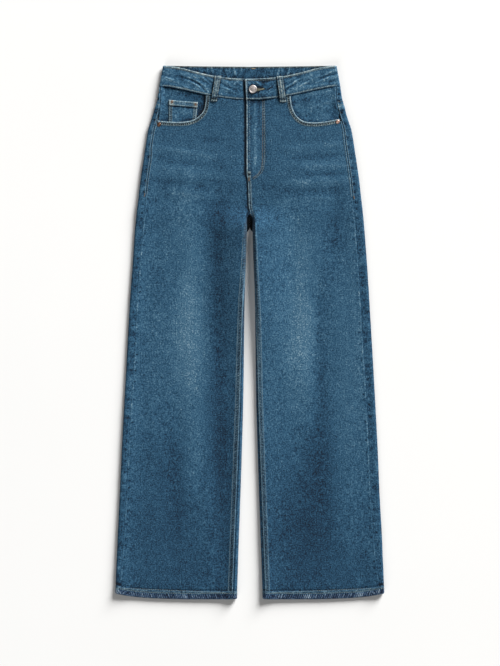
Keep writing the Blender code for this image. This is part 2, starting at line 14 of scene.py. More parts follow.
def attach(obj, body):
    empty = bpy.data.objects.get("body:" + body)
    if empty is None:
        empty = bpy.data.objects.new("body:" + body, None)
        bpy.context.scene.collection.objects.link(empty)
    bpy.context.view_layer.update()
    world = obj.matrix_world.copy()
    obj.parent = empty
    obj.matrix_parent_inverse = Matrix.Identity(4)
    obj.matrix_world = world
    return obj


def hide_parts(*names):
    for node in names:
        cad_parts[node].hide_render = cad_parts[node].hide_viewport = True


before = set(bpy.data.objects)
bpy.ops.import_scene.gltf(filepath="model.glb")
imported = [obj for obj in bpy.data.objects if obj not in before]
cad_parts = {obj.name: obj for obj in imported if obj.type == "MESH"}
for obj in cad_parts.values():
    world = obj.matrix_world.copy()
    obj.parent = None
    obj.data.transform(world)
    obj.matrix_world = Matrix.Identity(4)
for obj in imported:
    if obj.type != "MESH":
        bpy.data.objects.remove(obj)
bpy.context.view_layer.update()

MM = 0.001
MID_Y = 0.93
R = np.random.RandomState

# ------------------------------------------------------------------ shape
# side, gap: outer and inner fold line. out_r, out_l: outseam from the outer fold
# line, right and left leg. in_r, in_l: inseam from the inner fold line.
Level = namedtuple("Level", "y side gap out_r out_l in_r in_l thick lift")
LEVELS = [
    Level(540.0, 172.5, 0.0, 3.4, 3.4, 0.0, 0.0, 6.4, 2.3),
    Level(497.0, 180.6, 0.0, 4.4, 9.0, 0.0, 0.0, 6.4, 2.3),
    Level(467.0, 185.4, 0.0, 8.6, 14.0, 0.0, 0.0, 6.2, 2.0),
    Level(447.0, 190.8, 0.0, 11.6, 15.5, 0.0, 0.0, 6.0, 1.6),
    Level(427.0, 196.6, 0.0, 12.6, 15.8, 0.0, 0.0, 6.0, 1.4),
    Level(407.0, 203.4, 0.0, 13.4, 16.8, 0.0, 0.0, 6.0, 1.4),
    Level(377.0, 208.4, 0.0, 13.2, 18.4, 0.0, 0.0, 6.0, 1.4),
    Level(347.0, 213.0, 0.0, 16.2, 18.4, 0.0, 0.0, 6.0, 1.4),
    Level(307.0, 218.8, 0.0, 16.0, 18.6, 0.0, 0.0, 6.2, 1.4),
    Level(267.0, 223.4, 5.0, 16.6, 19.0, 0.0, 0.0, 6.4, 1.4),
    Level(245.0, 226.2, 5.3, 17.2, 19.4, 0.0, 0.0, 6.6, 1.4),
    Level(203.0, 230.2, 6.0, 17.4, 19.6, 0.0, 0.0, 6.8, 0.2),
    Level(147.0, 234.2, 7.3, 16.6, 19.2, 1.3, 0.8, 6.8, 0.0),
    Level(67.0, 240.0, 10.0, 16.0, 20.4, 4.6, 2.8, 6.8, 0.0),
    Level(-13.0, 244.4, 11.2, 17.2, 20.0, 6.6, 4.4, 6.8, 0.0),
    Level(-133.0, 251.0, 12.8, 15.8, 19.0, 8.4, 5.6, 6.8, 0.0),
    Level(-213.0, 255.2, 15.0, 15.2, 19.2, 9.0, 6.2, 7.0, 0.0),
    Level(-333.0, 260.8, 18.8, 15.0, 20.0, 10.0, 7.0, 7.4, 0.0),
    Level(-453.0, 266.6, 23.0, 13.0, 16.0, 10.8, 7.6, 8.4, 0.0),
    Level(-516.0, 268.8, 25.0, 10.4, 11.0, 11.4, 8.0, 9.6, 0.0),
    Level(-540.0, 269.0, 25.6, 9.4, 10.4, 11.6, 8.0, 9.8, 0.0),
]
CROTCH_FRONT = 236.0
CROTCH_BACK = 203.0
CLOTH = 1.1
SEAM = 0.06

Edge = namedtuple("Edge", "x y")
BAND_FRONT_LOW = [Edge(-20, 465.4), Edge(18, 466), Edge(46, 468.6), Edge(82, 474.4),
                  Edge(112, 481), Edge(140, 487.2), Edge(165, 491.6), Edge(190, 493.4)]
BAND_FRONT_TOP = [Edge(-20, 508), Edge(12, 508.5), Edge(46, 510.5), Edge(78, 515.5),
                  Edge(104, 521.5), Edge(137, 530), Edge(158, 533.3), Edge(180, 534.8)]
BAND_BACK_LOW = [Edge(0, 493.5), Edge(90, 494), Edge(190, 494.5)]
BAND_BACK_TOP = [Edge(0, 532.6), Edge(90, 533.4), Edge(180, 534.8)]
YOKE_LOW = [Edge(0, 425), Edge(60, 434), Edge(130, 446), Edge(190, 457)]
HEM_LOW = [Edge(20, -531.6), Edge(48, -532.8), Edge(120, -532.8), Edge(169, -531.7),
           Edge(205, -530.2), Edge(236, -527.2), Edge(269, -521.4)]
MOUTHS = {
    -1: [Edge(87.6, 480), Edge(88.4, 462.8), Edge(92, 446), Edge(99, 436),
         Edge(110, 427.8), Edge(124, 423.2), Edge(144, 421.8), Edge(166, 422.6),
         Edge(190, 425.4)],
    1: [Edge(81.0, 480), Edge(82.6, 463), Edge(86.8, 446), Edge(96.0, 431.5),
        Edge(110, 422.8), Edge(130, 420.8), Edge(151, 422.6), Edge(170, 426.2),
        Edge(190, 429.5)],
}

# Fronts at the fly: where each one ends, and how far they are lifted or lowered there.
Fly = namedtuple("Fly", "y left right up down")
FLY = [Fly(500.0, -7.3, 2.0, 0.8, 0.7), Fly(322.0, -7.0, 2.0, 0.8, 0.7),
       Fly(312.0, -6.2, -6.5, 0.8, 0.7), Fly(300.0, -4.6, -4.8, 0.2, 0.2),
       Fly(221.0, -1.8, -2.0, 0.0, 0.0)]


def ease(t):
    t = np.clip(t, 0.0, 1.0)
    return t * t * (3 - 2 * t)


def through(xs, ys, x):
    """A smooth curve through the points that never overshoots them, read at x."""
    xs, ys = np.asarray(xs, float), np.asarray(ys, float)
    if xs[0] > xs[-1]:
        xs, ys = xs[::-1], ys[::-1]
    h = np.diff(xs)
    d = np.diff(ys) / h
    m = np.empty_like(xs)
    m[0], m[-1] = d[0], d[-1]
    a, b = d[:-1], d[1:]
    good = a * b > 0
    m[1:-1] = np.where(good, 2 * a * b / np.where(good, a + b, 1.0), 0.0)
    x = np.clip(np.asarray(x, float), xs[0], xs[-1])
    i = np.clip(np.searchsorted(xs, x, side="right") - 1, 0, len(h) - 1)
    t = (x - xs[i]) / h[i]
    return (ys[i] * (1 + 2 * t) * (1 - t) ** 2 + m[i] * h[i] * t * (1 - t) ** 2
            + ys[i + 1] * t * t * (3 - 2 * t) + m[i + 1] * h[i] * t * t * (t - 1))


LEVEL_Y = [r.y for r in LEVELS]


def column(name, y):
    return through(LEVEL_Y, [getattr(r, name) for r in LEVELS], y)


def edge_at(edge, x):
    return through([e.x for e in edge], [e.y for e in edge], x)


def fly_at(name, y):
    return np.interp(y, [r.y for r in FLY][::-1], [getattr(r, name) for r in FLY][::-1])


def radius_at(y):
    return column("thick", y) / 2


def inner_centre(y, top):
    """x of the inner fold's axis. Above the crotch the cloth runs on to the centre line."""
    return fold_share(y, top) * (column("gap", y) + radius_at(y))


def fold_share(y, top):
    start = CROTCH_FRONT + 3 if top else CROTCH_BACK + 9
    return ease((start - y) / (9 if top else 12))


def noise_1d(seed, spacing, x, lo=-700.0, hi=700.0):
    """Smooth random values from -1 to 1, one each spacing."""
    n = int((hi - lo) / spacing) + 3
    v = R(seed).uniform(-1, 1, n)
    t = (np.asarray(x, float) - lo) / spacing
    i = np.clip(t.astype(int), 0, n - 2)
    return v[i] + (v[i + 1] - v[i]) * ease(t - i)


def noise_2d(seed, sx, sy, x, y, lo=-700.0, hi=700.0):
    nx, ny = int((hi - lo) / sx) + 3, int((hi - lo) / sy) + 3
    v = R(seed).uniform(-1, 1, (nx, ny))
    tx, ty = (np.asarray(x, float) - lo) / sx, (np.asarray(y, float) - lo) / sy
    i, j = np.clip(tx.astype(int), 0, nx - 2), np.clip(ty.astype(int), 0, ny - 2)
    fx, fy = ease(tx - i), ease(ty - j)
    a = v[i, j] + (v[i + 1, j] - v[i, j]) * fx
    b = v[i, j + 1] + (v[i + 1, j + 1] - v[i, j + 1]) * fx
    return a + (b - a) * fy


# Soft folds of the laid cloth, as lines from top to foot: positive is a ridge.
Line = namedtuple("Line", "x0 y0 x1 y1 half height")
FRONT_LINES = {
    -1: [Line(-60, 120, -56, -470, 17, -0.9), Line(-118, 60, -108, -360, 26, 1.1),
         Line(-150, -120, -152, -440, 20, -0.8), Line(-84, -300, -76, -500, 16, 0.8),
         Line(-206, 140, -222, -300, 17, -0.5), Line(-128, 330, -124, 120, 26, 0.8),
         Line(-66, 320, -60, 130, 20, -0.7), Line(-180, 300, -190, 120, 20, -0.4)],
    1: [Line(106, 120, 100, -120, 26, 1.1), Line(134, 80, 146, -420, 17, -1.0),
        Line(196, 60, 210, -430, 26, 0.8), Line(88, -180, 100, -480, 22, -0.6),
        Line(44, 40, 44, -440, 18, 0.6), Line(110, 330, 108, 130, 26, 0.8),
        Line(166, 300, 168, 120, 16, -0.7), Line(40, 300, 44, 120, 20, -0.4)],
}
# Faint creases over the hips.
WHISKERS = {
    -1: [Line(-196, 372, -60, 352, 6, 0.45), Line(-200, 350, -90, 336, 5, -0.4),
         Line(-190, 330, -50, 312, 7, 0.45), Line(-196, 306, -84, 292, 6, -0.4),
         Line(-176, 284, -60, 270, 8, 0.4), Line(-120, 392, -40, 384, 6, -0.35)],
    1: [Line(60, 368, 190, 378, 6, 0.4), Line(84, 350, 200, 356, 5, -0.4),
        Line(96, 334, 196, 336, 6, 0.5), Line(96, 316, 196, 318, 5, -0.45),
        Line(60, 300, 190, 304, 7, 0.5), Line(86, 282, 180, 284, 6, -0.4),
        Line(50, 262, 170, 268, 8, 0.4)],
}


def ridges(lines, x, y, along=0.22):
    """The sum of soft ridges, each fading out towards both its ends."""
    z = np.zeros(np.broadcast(x, y).shape)
    for l in lines:
        dx, dy = l.x1 - l.x0, l.y1 - l.y0
        length = math.hypot(dx, dy)
        t = ((x - l.x0) * dx + (y - l.y0) * dy) / length ** 2
        off = ((x - l.x0) * dy - (y - l.y0) * dx) / length
        ends = ease(t / along + 0.5) * ease((1 - t) / along + 0.5)
        z += l.height * np.exp(-(off / l.half) ** 2) * ends
    return z


def sag(x, y):
    outer = ease((column("side", y) - np.abs(x)) / 46.0)
    inner = ease((np.abs(x) - column("gap", y)) / 34.0)
    parted = ease((CROTCH_FRONT + 40.0 - y) / 80.0)
    down = ease((322.0 - y) / 70.0)
    return (2.4 + 1.6 * ease((-380.0 - y) / 130.0)) * down * outer * (1 - parted * (1 - inner))


# Small puckers beside the seams: where they fall, from a seeded draw.
def puckers(seed, y, low, high, least=22.0, most=44.0, reach=2.6):
    draw = R(seed)
    at, out = high, np.zeros_like(np.asarray(y, float))
    while at > low:
        at -= draw.uniform(least, most)
        size = draw.uniform(0.45, 1.0)
        wide = reach * draw.uniform(0.7, 1.5)
        out += size * np.exp(-((y - at) / wide) ** 2)
    return out


def front_relief(hand, x, y):
    """Height of the front's soft shape at signed x, above the plain section."""
    z = -sag(x, y) + ridges(FRONT_LINES[hand], x, y)
    inward = np.abs(x) - column("gap", y)
    z += ((3.4 + 10.2 * ease((y + 110.0) / 230.0)) * ease((256.0 - y) / 50.0) * (1 - 0.55 * ease((-60.0 - y) / 330.0))
          * ease((inward - 0.4) / 4.6) * (1 - ease((inward - 6.0) / 84.0)))
    z += 0.8 * ridges(WHISKERS[hand], x, y, 0.35) * (0.8 + 0.6 * noise_2d(15 + hand, 30, 12, x, y))
    z += 0.22 * noise_2d(11 + hand, 26, 60, x, y) + 0.14 * noise_2d(31 + hand, 9, 12, x, y)
    return z


def skin(hand, y, s, top, depth=0.0, relief=True):
    """Points of a leg's skin, s along it from the outer fold line over the front
    (top) or under the back. Negative s wraps round on to the other face."""
    y, s = np.broadcast_arrays(np.asarray(y, float), np.asarray(s, float))
    r = radius_at(y)
    q = r * math.pi / 2
    side = column("side", y)
    xc = np.where(fold_share(y, top) > 0, inner_centre(y, top), -40.0)
    run = side - r - xc
    a_out, a_in = s / r, (s - q - run) / r
    pick = [s < -q, s < q, s < q + run, s < 3 * q + run]
    x = np.select(pick, [side - r + (s + q), side - r + r * np.cos(a_out), side - r - (s - q),
                         xc - r * np.sin(a_in)], xc + (s - 3 * q - run))
    z = np.select(pick, [-r, r * np.sin(a_out), r, r * np.cos(a_in)], -r)
    nx = np.select(pick, [0 * r, np.cos(a_out), 0 * r, -np.sin(a_in)], 0 * r)
    nz = np.select(pick, [-1 + 0 * r, np.sin(a_out), 1 + 0 * r, np.cos(a_in)], -1 + 0 * r)
    if not top:
        z, nz = -z, -nz
    out = np.zeros_like(x)
    if relief:
        out = front_relief(hand, hand * x, y) * np.clip(nz, 0, 1) ** 0.6
        out += 0.06 * noise_2d(77 + hand, 14, 24, hand * x, y) * np.clip(-nz, 0, 1)
    move = out - depth
    x = x + nx * np.where(nz > 0.999, 0, move)
    z = z + np.where(np.abs(nz) > 0.999, nz, nz) * move
    z = z + column("lift", y) + r
    return np.stack([hand * x, y, z], -1), nz


def s_top(y, x):
    """Distance along the front from the outer fold line to |x|."""
    r = radius_at(y)
    return r * math.pi / 2 + column("side", y) - r - np.abs(x)


def front_lap(hand, x, y):
    near = 1 - ease((np.abs(x) - 6.0) / 26.0)
    near = np.where(x * hand < 0, 1.0, near)
    shift = fly_at("up", y) if hand > 0 else -fly_at("down", y)
    return np.where(y < 230, 0.0, shift * near)


def front_point(hand, x, y, up=0.0):
    """Points on the upper face of the front at signed x, y."""
    x, y = np.broadcast_arrays(np.asarray(x, float), np.asarray(y, float))
    side_x = np.where(x * hand < 0, -1.0, 1.0) * np.abs(x)
    r = radius_at(y)
    s = r * math.pi / 2 + column("side", y) - r - side_x
    p, _ = skin(hand, y, s, True)
    p[..., 2] += front_lap(hand, p[..., 0], y) + up
    return p


# ------------------------------------------------------------- mesh making
def normals_of(p):
    pr = np.gradient(p, axis=0)
    pc = np.gradient(p, axis=1)
    n = np.cross(pc, pr)
    return n / np.maximum(np.linalg.norm(n, axis=-1, keepdims=True), 1e-9)


def new_mesh(name, verts, faces, materials, smooth=True, index=None, **values):
    """verts in millimetres, faces an (n, 4) array (a triangle repeats no corner: use -1)."""
    mesh = bpy.data.meshes.new(name)
    v = np.asarray(verts, float).copy()
    v[:, 1] -= MID_Y
    f = np.asarray(faces)
    counts = (f >= 0).sum(1)
    loops = f[f >= 0]
    mesh.vertices.add(len(v))
    mesh.vertices.foreach_set("co", (v * MM).astype(np.float32).ravel())
    mesh.loops.add(len(loops))
    mesh.loops.foreach_set("vertex_index", loops.astype(np.int32))
    mesh.polygons.add(len(f))
    starts = np.concatenate([[0], np.cumsum(counts)[:-1]]).astype(np.int32)
    mesh.polygons.foreach_set("loop_start", starts)
    mesh.polygons.foreach_set("loop_total", counts.astype(np.int32))
    if index is not None:
        mesh.polygons.foreach_set("material_index", np.asarray(index, np.int32))
    mesh.polygons.foreach_set("use_smooth", np.full(len(f), smooth))
    mesh.update(calc_edges=True)
    mesh.validate()
    for key, data in values.items():
        made = mesh.attributes.new(key, "FLOAT", "POINT")
        made.data.foreach_set("value", np.asarray(data, np.float32).ravel())
    for m in materials:
        mesh.materials.append(m)
    made = bpy.data.objects.new(name, mesh)
    bpy.context.scene.collection.objects.link(made)
    return made


def wall(name, p, thick, materials, **how):
    return joined(name, [wall_faces(p, thick, **how)], materials)


def joined(name, grids, materials):
    """One mesh of one or more walls."""
    verts = np.concatenate([g[0] for g in grids])
    starts = np.cumsum([0] + [len(g[0]) for g in grids])
    faces = np.concatenate([g[1] + at for g, at in zip(grids, starts)])
    kinds = np.concatenate([g[2] for g in grids]) if len(materials) > 1 else None
    values = {key: np.concatenate([g[3][key] for g in grids]) for key in grids[0][3]}
    made = new_mesh(name, verts, faces, materials, index=kinds, **values)
    if len(grids) > 1:    # the rims where they meet don't bend the shading
        made.data.set_sharp_from_angle(angle=math.radians(62))
    return made


def wall_faces(p, thick, keep=None, flip=False, tone=None, tone_inner=None, warm=None, warm_inner=None):
    """A wall of cloth: p is its outer face as a grid of points, thick its depth
    inwards. Faces where keep is false are left out."""
    rows, cols = p.shape[:2]
    n = normals_of(p) * (-1 if flip else 1)
    inner = p - n * np.broadcast_to(np.asarray(thick, float)[..., None] if np.ndim(thick) else thick, p.shape[:2] + (1,))
    idx = np.arange(rows * cols).reshape(rows, cols)
    if keep is None:
        keep = np.ones((rows - 1, cols - 1), bool)
    q = np.stack([idx[:-1, :-1], idx[:-1, 1:], idx[1:, 1:], idx[1:, :-1]], -1)[keep]
    if flip:
        q = q[:, ::-1]
    off = rows * cols
    faces = [q, q[:, ::-1] + off]
    kinds = [np.zeros(len(q)), np.ones(len(q))]
    pad = np.zeros((rows + 1, cols + 1), bool)
    pad[1:-1, 1:-1] = keep
    # an edge between a kept face and none gets a rim
    for axis in (0, 1):
        if axis == 0:   # edges along a row, faces above and below
            a, b = idx[:, :-1], idx[:, 1:]
            before, after = pad[:-1, 1:-1], pad[1:, 1:-1]
        else:
            a, b = idx[:-1, :], idx[1:, :]
            before, after = pad[1:-1, :-1], pad[1:-1, 1:]
        for one, other, turn in ((after, before, axis == 0), (before, after, axis == 1)):
            m = one & ~other
            e0, e1 = a[m], b[m]
            if turn != flip:
                e0, e1 = e1, e0
            faces.append(np.stack([e0, e1, e1 + off, e0 + off], -1))
            kinds.append(np.zeros(len(e0)))
    faces = np.concatenate(faces)
    kinds = np.concatenate(kinds)
    verts = np.concatenate([p.reshape(-1, 3), inner.reshape(-1, 3)])
    used = np.zeros(len(verts), bool)
    used[faces.ravel()] = True
    remap = np.cumsum(used) - 1
    values = {}
    t = np.zeros(p.shape[:2]) if tone is None else np.broadcast_to(tone, p.shape[:2])
    ti = t if tone_inner is None else np.broadcast_to(tone_inner, p.shape[:2])
    values["tone"] = np.concatenate([t.ravel(), ti.ravel()])[used]
    if warm is not None:
        w = np.broadcast_to(warm, p.shape[:2])
        wi = w if warm_inner is None else np.broadcast_to(warm_inner, p.shape[:2])
        values["warm"] = np.clip(np.concatenate([w.ravel(), wi.ravel()])[used], -1, 1)
    return verts[used], remap[faces], kinds, values


def tube(name, p, materials, tone=None, caps=True, warm=None):
    """A closed skin: p[i, j] goes round with i, along with j."""
    rows, cols = p.shape[:2]
    idx = np.arange(rows * cols).reshape(rows, cols)
    nxt = np.roll(idx, -1, axis=0)
    q = np.stack([idx[:, :-1], idx[:, 1:], nxt[:, 1:], nxt[:, :-1]], -1).reshape(-1, 4)
    verts = p.reshape(-1, 3)
    faces = [q]
    t = np.zeros(p.shape[:2]) if tone is None else np.broadcast_to(tone, p.shape[:2])
    t = t.ravel()
    w = np.zeros(p.shape[:2]) if warm is None else np.broadcast_to(warm, p.shape[:2])
    w = np.clip(w.ravel(), 0, 1)
    if caps:
        for j, turn in ((0, False), (cols - 1, True)):
            ring = idx[:, j]
            middle = len(verts)
            verts = np.concatenate([verts, verts[ring].mean(0)[None]])
            t = np.concatenate([t, [t[ring].mean()]])
            w = np.concatenate([w, [w[ring].mean()]])
            a, b = ring, np.roll(ring, -1)
            tri = np.stack([a, b, np.full(rows, middle), np.full(rows, -1)], -1)
            if turn:
                tri = np.stack([b, a, np.full(rows, middle), np.full(rows, -1)], -1)
            faces.append(tri)
    return new_mesh(name, verts, np.concatenate(faces), materials, tone=t, warm=w)


# ------------------------------------------------------------- stitching
class Thread:
    """Gathers stitches, and makes one mesh of them."""

    def __init__(self, name, material, sides=6):
        self.name, self.material, self.sides = name, material, sides
        self.centre, self.along, self.up, self.size = [], [], [], []

    def row(self, path, up=None, pitch=3.3, length=2.5, width=0.75, seed=1, sink=0.05, high=0.42):
        """Stitches along a path of points, with its up vectors (or +Z)."""
        path = np.asarray(path, float)
        seg = np.linalg.norm(np.diff(path, axis=0), axis=1)
        dist = np.concatenate([[0], np.cumsum(seg)])
        count = int(dist[-1] / pitch)
        if count < 1:
            return
        draw = R(seed)
        at = (np.arange(count) + 0.5) * dist[-1] / count + draw.uniform(-0.12, 0.12, count)
        take = lambda d: np.stack([np.interp(d, dist, path[:, k]) for k in range(3)], -1)
        a, b = take(at - length / 2), take(at + length / 2)
        along = b - a
        ups = np.zeros((count, 3)) + (0, 0, 1)
        if up is not None:
            ups = np.stack([np.interp(at, dist, np.asarray(up)[:, k]) for k in range(3)], -1)
        self.centre.append((a + b) / 2 - ups * sink)
        self.along.append(along / 2)
        self.up.append(ups)
        self.size.append(np.stack([np.full(count, width / 2) * draw.uniform(0.9, 1.1, count),
                                   np.full(count, high)], -1))

    def bars(self, centre, direction, length, width, turns, up=(0, 0, 1), thread=0.55, high=0.5):
        """A bar tack: close stitches across a line."""
        c, d, u = np.array(centre, float), np.array(direction, float), np.array(up, float)
        d /= np.linalg.norm(d)
        w = np.cross(u, d)
        t = (np.arange(turns) + 0.5) / turns - 0.5
        pts = c + t[:, None] * d * length
        self.centre.append(pts)
        self.along.append(np.tile(w * width / 2, (turns, 1)) + d * length / turns * 0.25)
        self.up.append(np.tile(u, (turns, 1)))
        self.size.append(np.tile([thread / 2, high], (turns, 1)))

    def make(self):
        c, a, u = (np.concatenate(v) for v in (self.centre, self.along, self.up))
        size = np.concatenate(self.size)
        u = u / np.linalg.norm(u, axis=1, keepdims=True)
        half = np.linalg.norm(a, axis=1, keepdims=True)
        side = np.cross(a / half, u)
        ts = np.array([-1.0, -0.72, 0.0, 0.72, 1.0])
        wide = np.array([0.35, 0.9, 1.0, 0.9, 0.35])
        drop = np.array([-0.75, 0.1, 0.35, 0.1, -0.75])
        ang = np.arange(self.sides) / self.sides * math.tau
        v = (c[:, None, None] + a[:, None, None] * ts[None, :, None, None]
             + side[:, None, None] * (np.cos(ang)[None, None, :] * wide[None, :, None] * size[:, 0][:, None, None])[..., None]
             + u[:, None, None] * ((np.sin(ang)[None, None, :] * wide[None, :, None] * 0.85 + drop[None, :, None])
                                   * size[:, 1][:, None, None])[..., None])
        n, k, m = len(c), len(ts), self.sides
        idx = np.arange(n * k * m).reshape(n, k, m)
        nxt = np.roll(idx, -1, axis=2)
        q = np.stack([idx[:, :-1], idx[:, 1:], nxt[:, 1:], nxt[:, :-1]], -1).reshape(-1, 4)
        rest = np.full((n, 1), -1)
        caps = [idx[:, 0, :][:, ::-1], idx[:, -1, :]]
        f = np.full((len(q) + 2 * n, m), -1)
        f[:len(q), :4] = q
        f[len(q):len(q) + n] = caps[0]
        f[len(q) + n:] = caps[1]
        return new_mesh(self.name, v.reshape(-1, 3), f, [self.material])


# -------------------------------------------------------------- materials
class Nodes:
    def __init__(self, name):
        self.material = bpy.data.materials.new(name)
        self.material.use_nodes = True
        self.tree = self.material.node_tree
        self.shader = self.tree.nodes["Principled BSDF"]

    def add(self, kind, **settings):
        node = self.tree.nodes.new(kind)
        for key, value in settings.items():
            setattr(node, key, value)
        return node

    def link(self, a, b):
        self.tree.links.new(a, b)

    def put(self, node, **values):
        for key, value in values.items():
            socket = node.inputs[key.replace("_", " ")]
            if isinstance(value, bpy.types.NodeSocket):
                self.link(value, socket)
            else:
                socket.default_value = value
        return node

    def math(self, operation, a, b=None, c=None):
        node = self.add("ShaderNodeMath", operation=operation)
        for k, value in enumerate((a, b, c)):
            if value is None:
                continue
            if isinstance(value, (int, float)):
                node.inputs[k].default_value = value
            else:
                self.link(value, node.inputs[k])
        return node.outputs[0]

    def ramp(self, factor, stops):
        node = self.add("ShaderNodeValToRGB")
        self.link(factor, node.inputs[0])
        points = node.color_ramp.elements
        while len(points) < len(stops):
            points.new(0.5)
        for point, (at, colour) in zip(points, stops):
            point.position = at
            point.color = (*colour, 1.0)
        return node.outputs[0]

    def noise(self, vector, scale, detail=2.0, rough=0.5, stretch=None):
        if stretch is not None:
            mapping = self.add("ShaderNodeMapping")
            mapping.inputs["Scale"].default_value = stretch
            self.link(vector, mapping.inputs["Vector"])
            vector = mapping.outputs[0]
        node = self.add("ShaderNodeTexNoise")
        self.put(node, Vector=vector, Scale=scale, Detail=detail, Roughness=rough)
        return node.outputs["Fac"]


def srgb(*rgb):
    return tuple(c / 12.92 if c <= 0.04045 else ((c + 0.055) / 1.055) ** 2.4 for c in (v / 255 for v in rgb))


EXPOSED = 1.18    # what the lights put on a flat surface


def lit(*rgb):
    return tuple(c / EXPOSED for c in srgb(*rgb))


DENIM = [(0.0, lit(6, 24, 40)), (0.2, lit(20, 54, 80)), (0.4, lit(36, 78, 107)),
         (0.6, lit(56, 99, 128)), (0.78, lit(80, 120, 146)), (0.9, lit(104, 140, 160)), (1.0, lit(142, 170, 184))]
WORN = [(0.0, lit(14, 20, 24)), (0.2, lit(40, 50, 52)), (0.4, lit(74, 86, 86)),
        (0.6, lit(106, 119, 117)), (0.8, lit(140, 151, 146)), (1.0, lit(186, 192, 186))]
PLUM = [(0.0, lit(14, 20, 40)), (0.2, lit(30, 42, 72)), (0.4, lit(56, 68, 96)),
        (0.6, lit(90, 102, 126)), (0.8, lit(128, 138, 154)), (1.0, lit(160, 170, 182))]
INSIDE = [(0.0, lit(46, 62, 76)), (0.4, lit(98, 118, 134)), (0.7, lit(140, 156, 168)), (1.0, lit(190, 200, 206))]


def denim(name, base, ramp=DENIM, grain=1.45, turn=1.0):
    """Twill: diagonal wales, pale weft showing between dark warp threads, slubs
    along the warp, and the tone of each place from the mesh."""
    n = Nodes(name)
    place = n.add("ShaderNodeTexCoord").outputs["Object"]
    split = n.add("ShaderNodeSeparateXYZ")
    n.link(place, split.inputs[0])
    x, y = split.outputs[0], split.outputs[1]
    wobble = n.noise(place, 900.0, 1.0)
    wale = n.math("ADD", n.math("MULTIPLY", x, 780.0 * turn), n.math("MULTIPLY", y, -430.0))
    wale = n.math("ADD", wale, n.math("MULTIPLY", wobble, 0.55))
    wale = n.math("SINE", n.math("MULTIPLY", wale, math.tau))
    warp = n.math("SINE", n.math("MULTIPLY", x, 1560.0 * math.tau))
    weave = n.math("ADD", n.math("MULTIPLY", wale, 0.75), n.math("MULTIPLY", warp, 0.25))
    fine = n.noise(place, 400.0, 1.5, 0.6)
    slub = n.noise(place, 1.0, 2.0, 0.6, (400.0, 90.0, 400.0))
    cloud = n.noise(place, 70.0, 3.0, 0.6)
    tone = n.add("ShaderNodeAttribute", attribute_name="tone").outputs["Fac"]
    total = n.math("ADD", tone, base - 0.5 * (grain + 0.45 + 0.30))
    total = n.math("MULTIPLY_ADD", fine, grain, total)
    total = n.math("MULTIPLY_ADD", slub, 0.45, total)
    total = n.math("MULTIPLY_ADD", cloud, 0.30, total)
    total = n.math("MULTIPLY_ADD", weave, 0.05, total)
    # stitched and handled places are less blue
    worn = n.add("ShaderNodeMix", data_type="RGBA")
    n.link(n.add("ShaderNodeAttribute", attribute_name="warm").outputs["Fac"], worn.inputs[0])
    n.link(n.ramp(total, ramp), worn.inputs[6])
    n.link(n.ramp(total, WORN), worn.inputs[7])
    if ramp is DENIM:
        plum = n.add("ShaderNodeMix", data_type="RGBA")
        warm = n.add("ShaderNodeAttribute", attribute_name="warm").outputs["Fac"]
        n.link(n.math("MULTIPLY", warm, -1.0), plum.inputs[0])
        n.link(worn.outputs[2], plum.inputs[6])
        n.link(n.ramp(total, PLUM), plum.inputs[7])
        worn = plum
    n.link(worn.outputs[2], n.shader.inputs["Base Color"])
    rough = n.math("MULTIPLY_ADD", fine, 0.12, 0.80)
    n.link(rough, n.shader.inputs["Roughness"])
    n.shader.inputs["Specular IOR Level"].default_value = 0.18
    n.shader.inputs["Sheen Weight"].default_value = 0.06
    n.shader.inputs["Sheen Roughness"].default_value = 0.5
    bump = n.add("ShaderNodeBump")
    height = n.math("ADD", n.math("MULTIPLY", weave, 0.5), n.math("MULTIPLY", fine, 1.1))
    n.put(bump, Height=height, Strength=0.55, Distance=0.00035)
    n.link(bump.outputs[0], n.shader.inputs["Normal"])
    return n.material


def thread_material(name, colour, spread):
    n = Nodes(name)
    place = n.add("ShaderNodeTexCoord").outputs["Object"]
    patch = n.noise(place, 160.0, 2.0)
    strand = n.noise(place, 2600.0, 1.0)
    mix = n.math("MULTIPLY_ADD", strand, 0.4, n.math("MULTIPLY", patch, 0.6))
    n.link(n.ramp(mix, [(0.3, lit(*[c * (1 - spread) for c in colour])),
                        (0.7, lit(*[min(255, c * (1 + spread)) for c in colour]))]),
           n.shader.inputs["Base Color"])
    n.shader.inputs["Roughness"].default_value = 0.62
    bump = n.add("ShaderNodeBump")
    n.put(bump, Height=strand, Strength=0.5, Distance=0.0002)
    n.link(bump.outputs[0], n.shader.inputs["Normal"])
    return n.material


def metal(name, colour, dark, rough=0.34):
    n = Nodes(name)
    place = n.add("ShaderNodeTexCoord").outputs["Object"]
    scuff = n.noise(place, 420.0, 4.0, 0.7)
    fleck = n.noise(place, 1500.0, 2.0, 0.6)
    n.link(n.ramp(scuff, [(0.35, srgb(*dark)), (0.6, srgb(*colour))]), n.shader.inputs["Base Color"])
    n.shader.inputs["Metallic"].default_value = 1.0
    n.link(n.math("MULTIPLY_ADD", scuff, 0.25, rough - 0.08), n.shader.inputs["Roughness"])
    bump = n.add("ShaderNodeBump")
    n.put(bump, Height=fleck, Strength=0.25, Distance=0.0001)
    n.link(bump.outputs[0], n.shader.inputs["Normal"])
    return n.material


cloth = denim("denim_outside", 0.445)
inside = denim("denim_inside", 0.45, INSIDE, 0.8, -1.0)
thread = thread_material("thread_grey", (112, 132, 138), 0.25)
thread_rust = thread_material("thread_rust", (112, 96, 80), 0.3)
thread_tan = thread_material("thread_tan", (130, 128, 108), 0.25)


